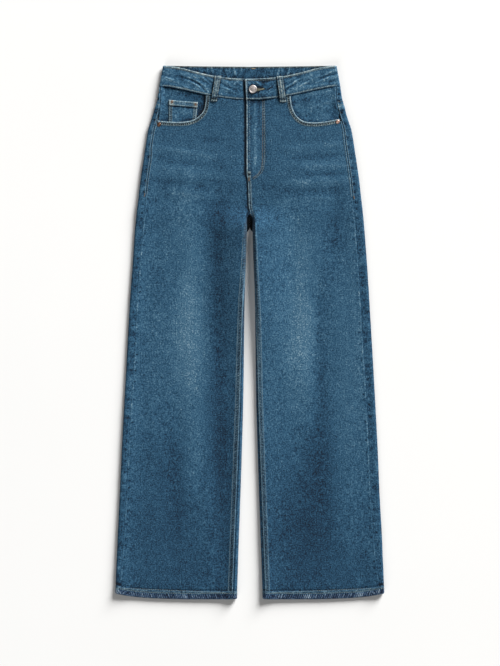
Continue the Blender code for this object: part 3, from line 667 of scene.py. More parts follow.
# ------------------------------------------------------------------ tones
# Washed patches of the fronts, and painted light and shade along the soft folds (lighter on ridges, darker in troughs):
# middle, half widths, how much lighter.
Fade = namedtuple("Fade", "x y wide tall tone")
WASH_AND_FOLD_SHADE = {
    -1: [Fade(-119, 20, 30, 170, 0.21), Fade(-126, -30, 44, 110, 0.08), Fade(-112, -250, 22, 110, 0.10),
         Fade(-84, -390, 18, 80, 0.05), Fade(-62, 60, 17, 190, -0.16), Fade(-58, -230, 19, 180, -0.18),
         Fade(-150, -270, 24, 110, -0.11), Fade(-150, 200, 40, 60, 0.05), Fade(-128, 258, 26, 40, 0.08),
         Fade(-60, 230, 34, 60, -0.09), Fade(-120, -420, 110, 110, -0.07), Fade(-190, -60, 30, 160, 0.05),
         Fade(-130, 340, 60, 40, 0.04), Fade(-20, 226, 20, 26, -0.09)],
    1: [Fade(106, 20, 28, 160, 0.19), Fade(96, -20, 46, 120, 0.10), Fade(40, 130, 40, 80, 0.02),
        Fade(142, -60, 15, 170, -0.09), Fade(134, -300, 26, 150, -0.15), Fade(200, -40, 30, 200, 0.11),
        Fade(205, -300, 26, 130, 0.08), Fade(96, 180, 40, 70, 0.06), Fade(168, 210, 16, 60, -0.09),
        Fade(84, -370, 40, 100, -0.10), Fade(150, 320, 60, 60, 0.07), Fade(44, -200, 22, 140, 0.04),
        Fade(130, -430, 110, 110, -0.07), Fade(60, 30, 30, 140, 0.02),
        Fade(20, 232, 20, 26, -0.07)],
}


def front_tone(hand, x, y):
    t = np.zeros(np.broadcast(x, y).shape)
    for f in WASH_AND_FOLD_SHADE[hand]:
        t += f.tone * np.exp(-((x - f.x) / f.wide) ** 2 - ((y - f.y) / f.tall) ** 2)
    # the hip creases are lighter on their ridges and darker in their troughs: painted light and shade
    t += 0.13 * ridges(WHISKERS[hand], x, y, 0.35) / 0.45 * (0.8 + 0.5 * noise_2d(17 + hand, 26, 14, x, y))
    t += 0.03 * noise_2d(5 + hand, 20, 40, x, y) + 0.02 * noise_2d(6 + hand, 7, 12, x, y)
    t -= 0.05 * ease((-440 - y) / 90.0) + 0.05 * ease((-120 - y) / 160.0)
    return t


# ------------------------------------------------------------- the panels
def spread(start, end, edge, fine, step):
    """Gives back edge, fine and step as they are."""
    return edge, fine, step


EDGE_OFFSETS = np.array([0, 0.5, 1.1, 1.8, 2.7, 3.8, 5.2, 7.0, 9.2, 11.8, 14.8, 18.0])


def stations(start, end, count):
    """Columns between two curves start(y) and end(y): fine at both edges."""
    start, end = np.broadcast_arrays(start, end)
    k = EDGE_OFFSETS
    mid = np.linspace(0, 1, count + 2)[1:-1]
    a = start[:, None] + k[None, :]
    b = end[:, None] - k[::-1][None, :]
    lo, hi = a[:, -1:], b[:, :1]
    return np.concatenate([a, lo + (hi - lo) * mid[None, :], b], axis=1)


HEM_ROWS = -533.0 + np.array([0.0, 0.35, 0.9, 1.7, 2.8, 4.1, 5.4, 6.7, 8.0, 9.2, 10.4, 11.5, 12.6, 13.6, 14.6,
                              15.6, 16.6, 17.6, 18.6, 19.8, 21.4, 23.6])[::-1]
HEM_ACROSS = 190


def levels(top):
    """Row levels from top down to where the hem's own rows start."""
    return np.concatenate([[top], np.arange(HEM_ROWS[0] + 2.0, top - 0.5, 2.0)[::-1], [HEM_ROWS[0]]])


HEM_STITCH = 14.4    # the hem's stitching, above its edge


def hem_shape(hand, x, y, s, seed):
    """(depth, thickness, tone) of the turned-up hem near the leg's foot."""
    edge = edge_at(HEM_LOW, np.abs(x))
    e = np.maximum(y - edge, 0.0)
    thick = CLOTH + 1.9 * (1 - ease((e - 15.0) / 1.6))
    roll = np.clip(1 - e / 1.5, 0, 1)
    depth = 1.5 * (1 - np.sqrt(np.clip(1 - roll ** 2, 0, 1)))
    thick = np.maximum(thick - 2 * depth, 0.25)
    band = ease((16.5 - e) / 1.5)
    # roping: slanting ridges between the edge and the stitches
    phase = s + 0.4 * e
    rung = ladder(seed, 4.3, phase)
    rope = 1.5 * (rung - 0.42) + 0.30 * noise_1d(seed + 1, 2.2, phase) + 0.30 * noise_1d(seed + 5, 22.0, s)
    shape = ease((e - 0.6) / 1.6) * (1 - ease((e - 8.6) / 3.2))
    depth = depth - band * shape * (0.4 + 0.55 * rope) * (e > 0.2)
    groove = np.exp(-((e - 18.3) / 1.1) ** 2)
    light = np.exp(-((e - 14.4) / 1.15) ** 2) * (0.50 + 0.55 * ladder(seed + 8, 11.0, s))
    under = np.exp(-((e - 11.6) / 1.4) ** 2)
    bits = noise_1d(seed + 2, 3.4, s)
    slow = noise_1d(seed + 7, 13.0, s)
    depth = depth + 0.5 * groove - 0.35 * light - 0.2 * under + 0.2 * light * bits
    above = ease((e - 17.0) / 1.5) * (1 - ease((e - 18.6) / 4.2))
    pull = noise_1d(seed + 3, 5.0, s + 0.3 * e)
    depth = depth - above * 0.30 * pull
    fray = np.exp(-((e - 0.8) / 1.1) ** 2) * (0.45 + 0.55 * noise_1d(seed + 6, 4.0, s))
    tone = (band * shape * (0.10 + 0.62 * rope) - 0.36 * groove * (0.8 + 0.3 * pull) + 0.50 * fray
            + light * (0.44 + 0.12 * bits + 0.10 * slow) + under * (0.02 + 0.14 * slow) + 0.09 * above * pull)
    outer = column("side", y) - np.abs(x)
    tone = tone - 0.50 * np.exp(-((outer - 6.0) / 7.0) ** 4) * np.exp(-((e - 21.0) / 3.4) ** 2)
    return depth, thick, np.where(e < 45, tone, 0.0)


def ladder(seed, pitch, along):
    """Rungs of a pulled seam from 0 to 1, one each pitch or so, uneven."""
    phase = along / pitch + 0.30 * noise_1d(seed, pitch * 2.6, along)
    size = 0.72 + 0.28 * noise_1d(seed + 1, pitch * 1.7, along)
    return size * (0.5 + 0.5 * np.cos(phase * math.tau))


def outseam_front(d, y, hand):
    """(height, tone) of the front beside the outseam, at distance d from its edge."""
    groove = np.exp(-(d / 0.8) ** 2)
    line = np.exp(-((d - 2.0) / 1.1) ** 2)
    sewn = ease((y - 272) / 10.0)
    fine = noise_1d(450 + hand, 3.6, y)
    broken = 0.45 + 0.55 * noise_1d(464 + hand, 9.0, y)
    height = (-0.2 - 0.3 * sewn) * groove + (0.15 + 0.35 * sewn) * line * (1 + 0.4 * fine)
    tone = (-(0.10 + 0.20 * sewn) * groove * broken
            + line * (0.26 + 0.06 * sewn) * (1 + 0.7 * fine) * (0.6 + 0.5 * noise_1d(466 + hand, 13.0, y)))
    spots = puckers(408 + hand, y, -520, 500, 10.0, 26.0, 1.8)
    tone = tone - 0.50 * spots * np.exp(-((d - 5.0) / 2.2) ** 2) * (1 - 0.5 * sewn)
    tone = tone + 0.05 * ease(d / 3.0) * (1 - ease((d - 8.0) / 14.0))
    return height, tone


def outseam_back(d, y, hand):
    """The same for the back's strip: a light edge, and dark pulled spots beside it."""
    groove = np.exp(-(d / 0.9) ** 2)
    line = np.exp(-((d - 1.9) / 1.0) ** 2)
    spots = puckers(400 + hand, y, -520, 500, 13.0, 27.0, 2.5)
    small = puckers(404 + hand, y, -520, 500, 7.0, 15.0, 1.3)
    at = np.exp(-((d - 4.6) / 2.9) ** 2)
    sewn = ease((y - 272) / 10.0)
    strength = 0.5 + 0.5 * ease((y - 150) / 160.0)
    fine = noise_1d(455 + hand, 3.0, y)
    light = np.clip(noise_1d(458 + hand, 8.0, y), 0, 1)
    broken = 0.5 + 0.5 * noise_1d(462 + hand, 9.0, y)
    height = (-0.2 - 0.4 * sewn) * groove + 0.35 * line * sewn - 0.9 * spots * at * strength + 0.3 * at * light
    tone = (-(0.12 + 0.20 * sewn) * groove * broken + line * (0.06 + 0.24 * sewn) * (1 + 0.6 * fine)
            - (0.40 + 0.30 * sewn) * spots * at * (0.35 + 0.65 * strength) - 0.24 * small * at + 0.24 * light * at)
    return height, tone


def inseam_front(d, y, hand):
    """The felled inseam: a light folded edge, rungs, and a second row of stitches."""
    edge = np.exp(-((d - 1.0) / 1.0) ** 2)
    body = ease((d - 1.6) / 1.0) * (1 - ease((d - 7.6) / 1.6))
    far = np.exp(-((d - 9.6) / 1.3) ** 2)
    rung = ladder(470 + hand, 5.6, y + 0.45 * d)
    core = np.exp(-((d - 4.9) / 2.2) ** 4)
    fine = noise_1d(474 + hand, 3.0, y)
    slow = noise_1d(478 + hand, 40.0, y)
    height = 0.5 * edge + body * (0.15 + 0.6 * rung) + 0.15 * far - 0.5 * np.exp(-(d / 0.6) ** 2)
    tone = (0.34 * edge * (1 + 0.3 * fine) + core * (-0.40 + 0.74 * rung) * (0.8 + 0.2 * slow)
            + 0.22 * far * (1 + 0.5 * fine) - 0.06 * np.exp(-((d - 13.0) / 2.5) ** 2))
    # the thick end of the seam in the hem
    bulk = np.exp(-((d - 5.0) / 5.0) ** 4) * np.exp(-((y + 525.0) / 6.0) ** 4)
    knob = np.exp(-((d - 5.0) / 3.2) ** 2 - ((y + 524.5) / 5.0) ** 2)
    tone = tone * (1 - 0.7 * bulk) + bulk * (-0.10 + 0.25 * noise_1d(482 + hand, 3.5, d)) + 0.75 * knob
    return height + 0.5 * bulk, tone


def inseam_warm(d, y):
    core = np.exp(-((d - 4.9) / 2.6) ** 4) * (0.42 - 0.20 * ease((y - 60) / 90.0))
    bulk = np.exp(-((d - 5.0) / 5.0) ** 4) * np.exp(-((y + 525.0) / 6.0) ** 4)
    return core * (1 - bulk)


def inseam_back(d, y, hand):
    """The back's strip inside the inseam: a groove under the felled edge, darkened with painted shade."""
    groove = np.exp(-((d - 0.8) / 1.2) ** 2)
    fine = noise_1d(480 + hand, 4.0, y)
    fold = ease((d - column("in_l" if hand > 0 else "in_r", y) * 0.4) / 4.0)
    return -0.5 * groove, -0.34 * groove + 0.05 * fine * ease(d / 2.0) - 0.05 * fold


def out_at(hand, y):
    return column("out_l" if hand > 0 else "out_r", y)


def in_at(hand, y):
    return column("in_l" if hand > 0 else "in_r", y)


def inner_end(hand, y, top):
    """Where a panel ends at the inner fold, along its own face from the outer fold line."""
    r = radius_at(y)
    q = r * math.pi / 2
    run = column("side", y) - r - inner_centre(y, top)
    share = fold_share(y, top)
    reach = in_at(hand, y)
    return q + run + share * q + np.where(share >= 1, -reach if top else reach, 0.0)


def centre_edge(hand, y):
    """Signed distance past the centre line that a front runs to, above the crotch."""
    past = fly_at("left", y) if hand > 0 else -fly_at("right", y)
    return past  # as hand * x of the edge


def front_ends(hand, y):
    """Where a front panel starts and ends along its skin at each level."""
    start = out_at(hand, y) + SEAM / 2
    end = inner_end(hand, y, True) - SEAM / 2 * fold_share(y, True)
    r = radius_at(y)
    past = r * math.pi / 2 + column("side", y) - r - centre_edge(hand, y)
    mix = ease((y - CROTCH_FRONT - 3) / 14.0)
    return start, end + (past - end) * mix


# The fly's stitched outline on the left front: x for each level.
JSTITCH = [Edge(500, 27.6), Edge(346, 27.6), Edge(334, 26.4), Edge(322, 22.0), Edge(314, 14.5), Edge(309, 6.5)]


def front_detail(hand, y, s):
    """(depth, thickness, tone) of a front panel at level y, s along its skin."""
    p0, nz = skin(hand, y, s, True, relief=False)
    x = p0[..., 0]
    depth, thick, tone = hem_shape(hand, x, y, s, 300 + hand)
    a, b = front_ends(hand, y)
    h1, t1 = outseam_front(s - a, y, hand)
    depth = depth - h1
    tone = tone + t1
    low = ease((CROTCH_FRONT - 8 - y) / 16.0) * ease((y + 517) / 3.0)
    h2, t2 = inseam_front(b - s, y, hand)
    depth = depth - h2 * low
    tone = tone + t2 * low
    # the folded centre edge of the fly and the rise seam
    high = 1 - ease((CROTCH_FRONT + 16 - y) / 16.0)
    e = b - s
    if hand > 0:
        fly = ease((y - 308) / 8.0)
        roll = 0.9 * np.clip(1 - e / 1.1, 0, 1) ** 2
        fold = 0.45 * (1 - ease((e - 5.0) / 3.0)) + 0.25 * np.exp(-((e - 1.4) / 1.3) ** 2)
        wear = 0.8 + 0.2 * noise_1d(61, 9.0, y)
        tone = tone + high * wear * 0.62 * fly * np.exp(-((e - 1.8) / 1.2) ** 2)
        tone = tone - high * fly * (0.22 * np.exp(-((e - 5.0) / 1.1) ** 2) + 0.20 * np.exp(-((e - 8.9) / 1.0) ** 2))
        dots = ladder(68, 4.6, y)
        tone = tone + high * fly * np.exp(-((e - 6.9) / 1.0) ** 2) * (-0.16 + 0.62 * dots)
        # the rise seam: two light rows with a groove between
        rise = high * (1 - fly)
        knots = noise_1d(69, 4.0, y)
        tone = tone + rise * (0.30 * np.exp(-((e - 2.0) / 1.1) ** 2) * (1 + 0.5 * knots)
                              + 0.22 * np.exp(-((e - 6.6) / 1.1) ** 2) * (1 + 0.5 * knots)
                              - 0.26 * np.exp(-((e - 4.3) / 1.2) ** 2) - 0.10 * np.exp(-((e - 9.2) / 1.6) ** 2)
                              - 0.5 * np.exp(-(e / 0.9) ** 2))
        foot = np.exp(-((x + 1.6) / 4.0) ** 4 - ((y - 313.0) / 11.0) ** 4)
        tone = tone + foot * (-0.16 + 0.30 * noise_2d(67, 2.6, 3.0, x, y))
        # towards the crotch the seam sinks in: painted shade
        tone = tone - 0.30 * np.exp(-((x - 1.0) / 7.0) ** 2) * ease((262 - y) / 36.0) * ease((y - 205.0) / 12.0)
        depth = depth + high * (roll - fold)
        # the pressed streak along the fly, and the bumps of what is under it
        down = ease((y - 318) / 26.0)
        streak = np.exp(-((x - 11.4) / 3.9) ** 2) * down * (1 - ease((y - 448) / 18.0))
        streak = streak * (0.8 + 0.4 * noise_1d(62, 16, y))
        second = np.exp(-((x - 22.4) / 1.6) ** 2) * down * (0.5 + 0.5 * noise_1d(63, 12, y))
        dark = np.exp(-((x - 17.6) / 2.8) ** 2) * down * (0.7 + 0.3 * noise_1d(64, 14, y))
        tone = tone + 0.36 * streak + 0.26 * second - 0.24 * dark
        depth = depth - 0.45 * streak + 0.35 * dark - 0.2 * second
        jx = through([j.x for j in JSTITCH], [j.y for j in JSTITCH], y)
        off = x - jx
        inside_j = ease((y - 306) / 4.0)
        groove = (np.exp(-((off + 1.9) / 1.0) ** 2) + np.exp(-((off - 1.9) / 1.0) ** 2)) * inside_j
        rung = ladder(66, 5.2, y + 0.4 * off)
        tone = tone + inside_j * np.exp(-(off / 2.8) ** 4) * (-0.26 + 0.56 * rung) - 0.05 * groove
        depth = depth + 0.25 * groove - 0.25 * rung * inside_j * np.exp(-(off / 2.6) ** 4)
        beyond = np.exp(-((off - 6.0) / 4.0) ** 2) * inside_j
        tone = tone - 0.04 * beyond
        corner = np.exp(-((x - 8) / 14) ** 2 - ((y - 461) / 6) ** 2)
        tone = tone - 0.24 * corner
    else:
        fly = ease((y - 308) / 10.0)
        depth = depth + high * 0.5 * np.exp(-(e / 3.0) ** 2)
        shade = np.clip(1 - (fly_at("left", y) - x - 2.0) / 4.4, 0, 1)
        tone = tone - high * fly * (0.62 * ease(shade * 1.2))
        tone = tone - high * (1 - fly) * (0.50 * np.exp(-(e / 1.9) ** 2) + 0.08 * np.exp(-(e / 7.0) ** 2))
        # painted shade where the seam sinks in towards the crotch
        tone = tone - 0.30 * np.exp(-((x + 1.0) / 8.0) ** 2) * ease((262 - y) / 36.0) * ease((y - 205.0) / 12.0)
    # under the waistband the cloth is pulled up into its seam
    top = edge_at(BAND_FRONT_LOW, np.abs(x)) - y
    pull = np.exp(-(top / 5.0) ** 2)
    tone = tone - 0.22 * np.exp(-(top / 2.0) ** 2) + 0.10 * pull * noise_1d(70 + hand, 6.0, x)
    depth = depth + 0.5 * np.exp(-(top / 1.5) ** 2) - 0.25 * pull * noise_1d(70 + hand, 6.0, x)
    # shade beside a belt loop's foot, and the pulled cloth outside the pocket mouth
    foot = 72.0 if hand < 0 else 66.8
    off = np.hypot(np.maximum(np.abs(np.abs(x) - foot) - 6.2, 0), np.maximum(464.5 - y, 0))
    tone = tone - 0.34 * np.exp(-(off / 2.0) ** 2) * ease((y - 450) / 4.0)
    if hand > 0:
        pulled = np.exp(-((np.abs(x) - 79.0 - 0.0016 * (y - 462) ** 2) / 3.4) ** 2) * ease((y - 432) / 10.0)
        tone = tone - 0.20 * pulled * (0.6 + 0.4 * noise_1d(72, 5.0, y))
    else:
        pulled = np.exp(-((np.abs(x) - 83.0 + 0.25 * (466.0 - y)) / 3.0) ** 2) * ease((y - 440) / 8.0)
        tone = tone + 0.20 * pulled
    return depth, thick, tone + front_tone(hand, x, y)


def front_warm(hand, y, s):
    """How far the front's colour is worn off its blue: at seams, hem and J."""
    p0, _ = skin(hand, y, s, True, relief=False)
    x = p0[..., 0]
    e = y - edge_at(HEM_LOW, np.abs(x))
    warm = 0.22 * np.exp(-((e - 14.0) / 2.2) ** 2) + 0.24 * np.exp(-((e - 11.8) / 1.3) ** 2)
    _, b = front_ends(hand, y)
    low = ease((CROTCH_FRONT - 8 - y) / 16.0)
    warm = np.maximum(warm, inseam_warm(b - s, y) * low)
    if hand > 0:
        high = 1 - ease((CROTCH_FRONT + 16 - y) / 16.0)
        fly = ease((y - 308) / 8.0)
        jx = through([j.x for j in JSTITCH], [j.y for j in JSTITCH], y)
        tan = 0.48 * np.exp(-((x - jx) / 2.6) ** 4) * ease((y - 306) / 4.0)
        edge = 0.45 * high * fly * np.exp(-((b - s - 2.0) / 1.6) ** 2)
        foot = 0.7 * np.exp(-((x + 1.6) / 4.0) ** 4 - ((y - 313.0) / 11.0) ** 4)
        rise = 0.4 * high * (1 - fly) * np.exp(-((b - s - 4.0) / 4.0) ** 4)
        warm = np.maximum.reduce([warm, tan, edge, foot, rise])
    return warm - 0.55 * np.exp(-((e - 4.8) / 5.8) ** 6) * (1 - ease(warm / 0.2))


def front_skin(hand, y, s, up=0.0):
    """Points on the front's outer face with all its relief."""
    depth, _, _ = front_detail(hand, y, s)
    p, _ = skin(hand, y, s, True, depth - up)
    p[..., 2] += front_lap(hand, p[..., 0], y)
    return p


def s_front(hand, x, y):
    """Distance along the front's skin to signed x."""
    r = radius_at(y)
    return r * math.pi / 2 + column("side", y) - r - hand * np.asarray(x, float)


def fitted(ys, ends, count, top_from, top_level, top_edge, under=False, hand=1):
    """Stations and levels of a panel whose top and foot rows follow slanting edges."""
    start, end = ends(ys)
    s0 = stations(start, end, count)
    level = ys[:, None]
    y = np.broadcast_to(level, s0.shape).copy()
    near, far = s0 - start[:, None], end[:, None] - s0
    k = EDGE_OFFSETS[-1]
    for _ in range(4):
        a, b = ends(y)
        mid = a + k + (b - a - 2 * k) * (near - k) / ((end - start)[:, None] - 2 * k)
        s = np.where(near <= k, a + near, np.where(far <= k, b - far, mid))
        p, _ = skin(hand, y, s, not under, relief=False)
        ax = np.abs(p[..., 0])
        top = edge_at(top_edge, ax) - SEAM
        y = np.where(level > top_from, top_from + (level - top_from) * (top - top_from) / (top_level - top_from), level)
        foot = edge_at(HEM_LOW, ax)
        y = np.where(level < -453.0, -453.0 + (level + 453.0) * (foot + 453.0) / (-533.0 + 453.0), y)
    a, b = ends(y)
    mid = a + k + (b - a - 2 * k) * (near - k) / ((end - start)[:, None] - 2 * k)
    return y, np.where(near <= k, a + near, np.where(far <= k, b - far, mid))


def front_panel(hand, name):
    grids = []
    for ys, across in ((levels(497.0), 34), (HEM_ROWS, HEM_ACROSS)):
        y, s = fitted(ys, lambda v: front_ends(hand, v), across, 377.0, 497.0, BAND_FRONT_LOW, hand=hand)
        depth, thick, tone = front_detail(hand, y, s)
        p, _ = skin(hand, y, s, True, depth)
        p[..., 2] += front_lap(hand, p[..., 0], y)
        # the pocket mouth, cut a little inside the band that edges it
        plain, _ = skin(hand, y, s, True, relief=False)
        keep = ~inside_mouth(mouth_curve(hand), np.abs(plain[..., 0]), y, -5.0)
        keep = keep[:-1, :-1] & keep[1:, :-1] & keep[:-1, 1:] & keep[1:, 1:]
        grids.append(wall_faces(p, thick, keep=keep, flip=hand < 0, tone=tone, warm=front_warm(hand, y, s)))
    return joined(name, grids, [cloth, inside])


def mouth_curve(hand, count=90, stop=None):
    """The pocket mouth's edge as points (|x|, y), from the waistband to the outseam."""
    m = MOUTHS[hand]
    t = np.arange(len(m))
    u = np.linspace(0, len(m) - 1, 400)
    px = spline([e.x for e in m], u)
    py = spline([e.y for e in m], u)
    pts = np.stack([px, py], -1)
    low = edge_at(BAND_FRONT_LOW, pts[:, 0]) - 0.2
    pts = pts[pts[:, 1] < low]
    side = column("side", pts[:, 1]) - radius_at(pts[:, 1]) * 0.4 - out_at(hand, pts[:, 1]) + 1.2
    pts = pts[pts[:, 0] < side]
    d = np.concatenate([[0], np.cumsum(np.linalg.norm(np.diff(pts, axis=0), axis=1))])
    at = np.linspace(0, d[-1], count)
    return np.stack([np.interp(at, d, pts[:, 0]), np.interp(at, d, pts[:, 1])], -1)


def spline(values, u):
    """Catmull-Rom through evenly numbered values."""
    v = np.asarray(values, float)
    i = np.clip(u.astype(int), 0, len(v) - 2)
    t = u - i
    p0, p1 = v[np.maximum(i - 1, 0)], v[i]
    p2, p3 = v[i + 1], v[np.minimum(i + 2, len(v) - 1)]
    return 0.5 * (2 * p1 + (p2 - p0) * t + (2 * p0 - 5 * p1 + 4 * p2 - p3) * t ** 2
                  + (3 * p1 - p0 - 3 * p2 + p3) * t ** 3)


def to_curve(curve, x, y):
    """Nearest index on a curve, and the signed distance from it: positive on its left."""
    tangent = np.gradient(curve, axis=0)
    tangent /= np.linalg.norm(tangent, axis=1, keepdims=True)
    pts = np.stack([np.ravel(x), np.ravel(y)], -1)
    d = pts[:, None, :] - curve[None]
    k = np.argmin((d ** 2).sum(-1), axis=1)
    dk = d[np.arange(len(pts)), k]
    t = tangent[k]
    across = t[:, 0] * dk[:, 1] - t[:, 1] * dk[:, 0]
    dist = np.linalg.norm(dk, axis=1) * np.sign(across)
    return k.reshape(np.shape(x)), dist.reshape(np.shape(x))


def inside_mouth(curve, x, y, reach):
    """True for points on the mouth's side of a line at that distance inside its edge."""
    near = (x > 60) & (y > 400)
    out = np.zeros(x.shape, bool)
    if near.any():
        _, dist = to_curve(curve, x[near], y[near])
        out[near] = dist > reach
    return out


def back_ends(hand, y):
    return -(out_at(hand, y) - SEAM / 2), inner_end(hand, y, False) - SEAM / 2


def side_strip(hand, y, s, nz):
    """(height, tone) of the strip that wraps to the front, above and below the yoke."""
    strip = np.exp(-((s + out_at(hand, y) * 0.35) / 9.0) ** 2)
    up = np.clip(nz, 0, 1)
    blotch = noise_1d(510 + hand, 7.0, y)
    tone = strip * (0.09 * blotch + 0.05 * noise_1d(511 + hand, 2.7, y) + 0.01)
    tone = tone - 0.16 * ease(1 - (s + radius_at(y) * 1.2) / 3.0) * 0 - 0.14 * np.exp(-((s - 1.0) / 2.2) ** 2)
    return strip * up * 0.25 * blotch, tone


def back_detail(hand, y, s):
    p0, nz = skin(hand, y, s, False, relief=False)
    x = p0[..., 0]
    a, b = back_ends(hand, y)
    depth, thick, tone = hem_shape(hand, x, y, -s, 340 + hand)
    depth = np.where(nz < -0.9, np.maximum(depth, 0.0), depth)
    h1, t1 = outseam_back(s - a, y, hand)
    low = ease((CROTCH_BACK - 8 - y) / 16.0)
    h2, t2 = inseam_back(b - s, y, hand)
    h3, t3 = side_strip(hand, y, s, nz)
    lift = h1 + h2 * low + h3
    depth = depth - np.where(nz < -0.2, np.minimum(lift, 0.0), lift)
    tone = tone + t1 + t2 * low + t3
    # the felled yoke seam: a raised band under its edge, dark at its foot
    below = edge_at(YOKE_LOW, np.abs(x)) - y
    felled = ease((below - 0.5) / 1.0) * (1 - ease((below - 8.5) / 1.2))
    depth = depth - np.where(nz < -0.2, 0.0, 0.5 * felled)
    tone = tone + 0.10 * felled - 0.30 * np.exp(-((below - 10.4) / 1.4) ** 2) + 0.16 * np.exp(-((below - 1.4) / 1.0) ** 2)
    tone = tone + 0.03 * noise_2d(8 + hand, 20, 40, x, y)
    under = np.clip(-nz, 0, 1)
    seat = np.exp(-((x - hand * 96) / 70) ** 2 - ((y - 250) / 120) ** 2)
    knee = np.exp(-((x - hand * 130) / 60) ** 2 - ((y + 20) / 200) ** 2)
    return depth, thick, tone + under * (0.14 * seat + 0.06 * knee)


def back_skin(hand, y, s, up=0.0):
    depth, _, _ = back_detail(hand, y, s)
    p, _ = skin(hand, y, s, False, depth - up)
    return p


def back_panel(hand, name):
    grids = []
    for ys, across in ((levels(457.0), 26), (HEM_ROWS, HEM_ACROSS)):
        y, s = fitted(ys, lambda v: back_ends(hand, v), across, 307.0, 457.0, YOKE_LOW, under=True, hand=hand)
        depth, thick, tone = back_detail(hand, y, s)
        p, nz = skin(hand, y, s, False, depth)
        p[..., 2] = np.maximum(p[..., 2], 0.02)
        # painted deep shade on its inside where the fronts part
        painted_deep_shade = np.exp(-(p[..., 0] / 16.0) ** 4) * ease((y - 190.0) / 8.0) * (1 - ease((y - 262.0) / 14.0))
        e = y - edge_at(HEM_LOW, np.abs(p[..., 0]))
        warm = 0.5 * np.exp(-((e - 11.4) / 1.7) ** 2) + 0.25 * np.exp(-((e - 14.6) / 1.6) ** 2)
        warm = warm - 0.62 * np.exp(-((e - 4.6) / 5.4) ** 6) * (1 - ease(warm / 0.2))
        grids.append(wall_faces(p, thick, flip=hand > 0, tone=tone, tone_inner=tone * (1 - painted_deep_shade) - (0.85 + 0.9 * ease((232.0 - y) / 16.0)) * painted_deep_shade,
                                warm=warm, warm_inner=painted_deep_shade * ease((236.0 - y) / 12.0)))
    return joined(name, grids, [cloth, inside])


def yoke(hand, name):
    """The back yoke, wrapped round the outer fold to the outseam."""
    f = np.concatenate([[0, 0.014, 0.035, 0.065, 0.1], np.linspace(0.14, 1, 26)])
    start, end = back_ends(hand, np.array([470.0]))
    s0 = stations(start, end, 26)
    near, far = s0 - start[:, None], end[:, None] - s0
    level = np.full((len(f), s0.shape[1]), 470.0)
    k = EDGE_OFFSETS[-1]
    for _ in range(5):
        a, b = back_ends(hand, level)
        b = b - 0.15
        mid = a + k + (b - a - 2 * k) * (near - k) / ((end - start)[:, None] - 2 * k)
        s = np.where(near <= k, a + near, np.where(far <= k, b - far, mid))
        p, nz = skin(hand, level, s, False, relief=False)
        low = edge_at(YOKE_LOW, np.abs(p[..., 0]))
        _, top = None, None
        share = ease((nz + 1) / 2)
        top = (edge_at(BAND_FRONT_LOW, np.abs(p[..., 0])) * share
               + edge_at(BAND_BACK_LOW, np.abs(p[..., 0])) * (1 - share)) - SEAM
        level = low + (top - low) * f[:, None]
    h1, t1 = outseam_back(s - a, level, hand)
    h3, t3 = side_strip(hand, level, s, nz)
    lift = h1 + h3
    above = level - low
    edge = np.exp(-((above - 0.9) / 1.0) ** 2)
    depth = -np.where(nz < -0.2, np.minimum(lift, 0.0), lift + 0.35 * (1 - ease((above - 9.0) / 1.5)))
    tone = t1 + t3 + 0.24 * edge - 0.26 * np.exp(-((above - 10.4) / 1.3) ** 2)
    tone = tone - 0.2 * np.exp(-((top - level) / 1.2) ** 2)
    p, _ = skin(hand, level, s, False, depth)
    return wall(name, p[::-1], CLOTH, [cloth, inside], flip=hand > 0, tone=tone[::-1])


# ----------------------------------------------------------------- pockets
FACING_DEPTH = {-1: 2.8, 1: 1.4}


def facing(hand, name):
    """The facing seen through a hand pocket's mouth."""
    ny, nx = 70, 84
    f = np.linspace(0, 1, ny)[:, None]
    g = np.linspace(0, 1, nx)[None, :]
    y = np.full((ny, nx), 440.0)
    x = np.full((ny, nx), 120.0)
    for _ in range(5):
        top = edge_at(BAND_FRONT_LOW, x) - SEAM
        y = 398.0 + (top - 398.0) * f
        start = out_at(hand, y) + SEAM / 2 + 3.2 * (1 - ease((y - 432.0) / 8.0))
        s = start + (s_top(y, 74.0) - start) * g
        p, _ = skin(hand, y, s, True, relief=False)
        x = np.abs(p[..., 0])
    d = s - out_at(hand, y)
    drop = FACING_DEPTH[hand] * np.maximum(ease(d / 12.0), 1 - ease((y - 434.0) / 16.0))
    h1, t1 = outseam_front(d, y, hand)
    k, inward = to_curve(mouth_curve(hand), x, y)
    crumple = noise_2d(90 + hand, 9, 7, x, y) + 0.5 * noise_2d(92 + hand, 4, 4, x, y)
    depth = drop - h1 * ease((y - 430) / 8) - 0.3 * crumple
    # painted shade inside the mouth's edge
    shade = np.exp(-(np.clip(inward, 0, 99) / 5.0) ** 2)
    inner = ease((134 - x) / 32.0)
    tone = t1 - shade * (0.16 + (0.10 if hand > 0 else 0.26) * inner) + 0.09 * crumple + (0.06 if hand > 0 else 0.0)
    top = edge_at(BAND_FRONT_LOW, x) - y
    tone = tone - 0.24 * np.exp(-(top / 1.9) ** 2) + (0.13 if hand > 0 else 0.0) * np.exp(-((top - 6.5) / 3.4) ** 2)
    if hand > 0:
        tone = tone - 0.16 * np.exp(-((top - 15) / 5) ** 2) * ease((150 - x) / 40)
        tone = tone - 0.14 * np.exp(-((x - 170) / 7) ** 2) * ease((470 - y) / 8.0)
    else:
        tone = tone - 0.18 * np.exp(-((top - 8) / 5) ** 2) * ease((160 - x) / 30)
        tone = tone - 0.22 * np.exp(-((x - 99) / 4.5) ** 2) * ease((464 - y) / 6.0) * ease((y - 428) / 6.0)
        # more painted shade inside the mouth's edge
        tone = tone - 0.30 * np.exp(-(np.clip(inward, 0, 99) / 7.0) ** 2) * np.exp(-((x - 118) / 22) ** 2)
    p, _ = skin(hand, y, s, True, depth, relief=False)
    return wall(name, p, CLOTH, [cloth, inside], flip=hand > 0, tone=tone)


COIN_TOP = [Edge(102, 461.4), Edge(162, 466.2)]


def coin_point(x, y, depth=0.0):
    """Points over the coin pocket at distance x from the centre line."""
    p, _ = skin(-1, y, s_top(y, x), True, 1.4 + depth, relief=False)
    return p


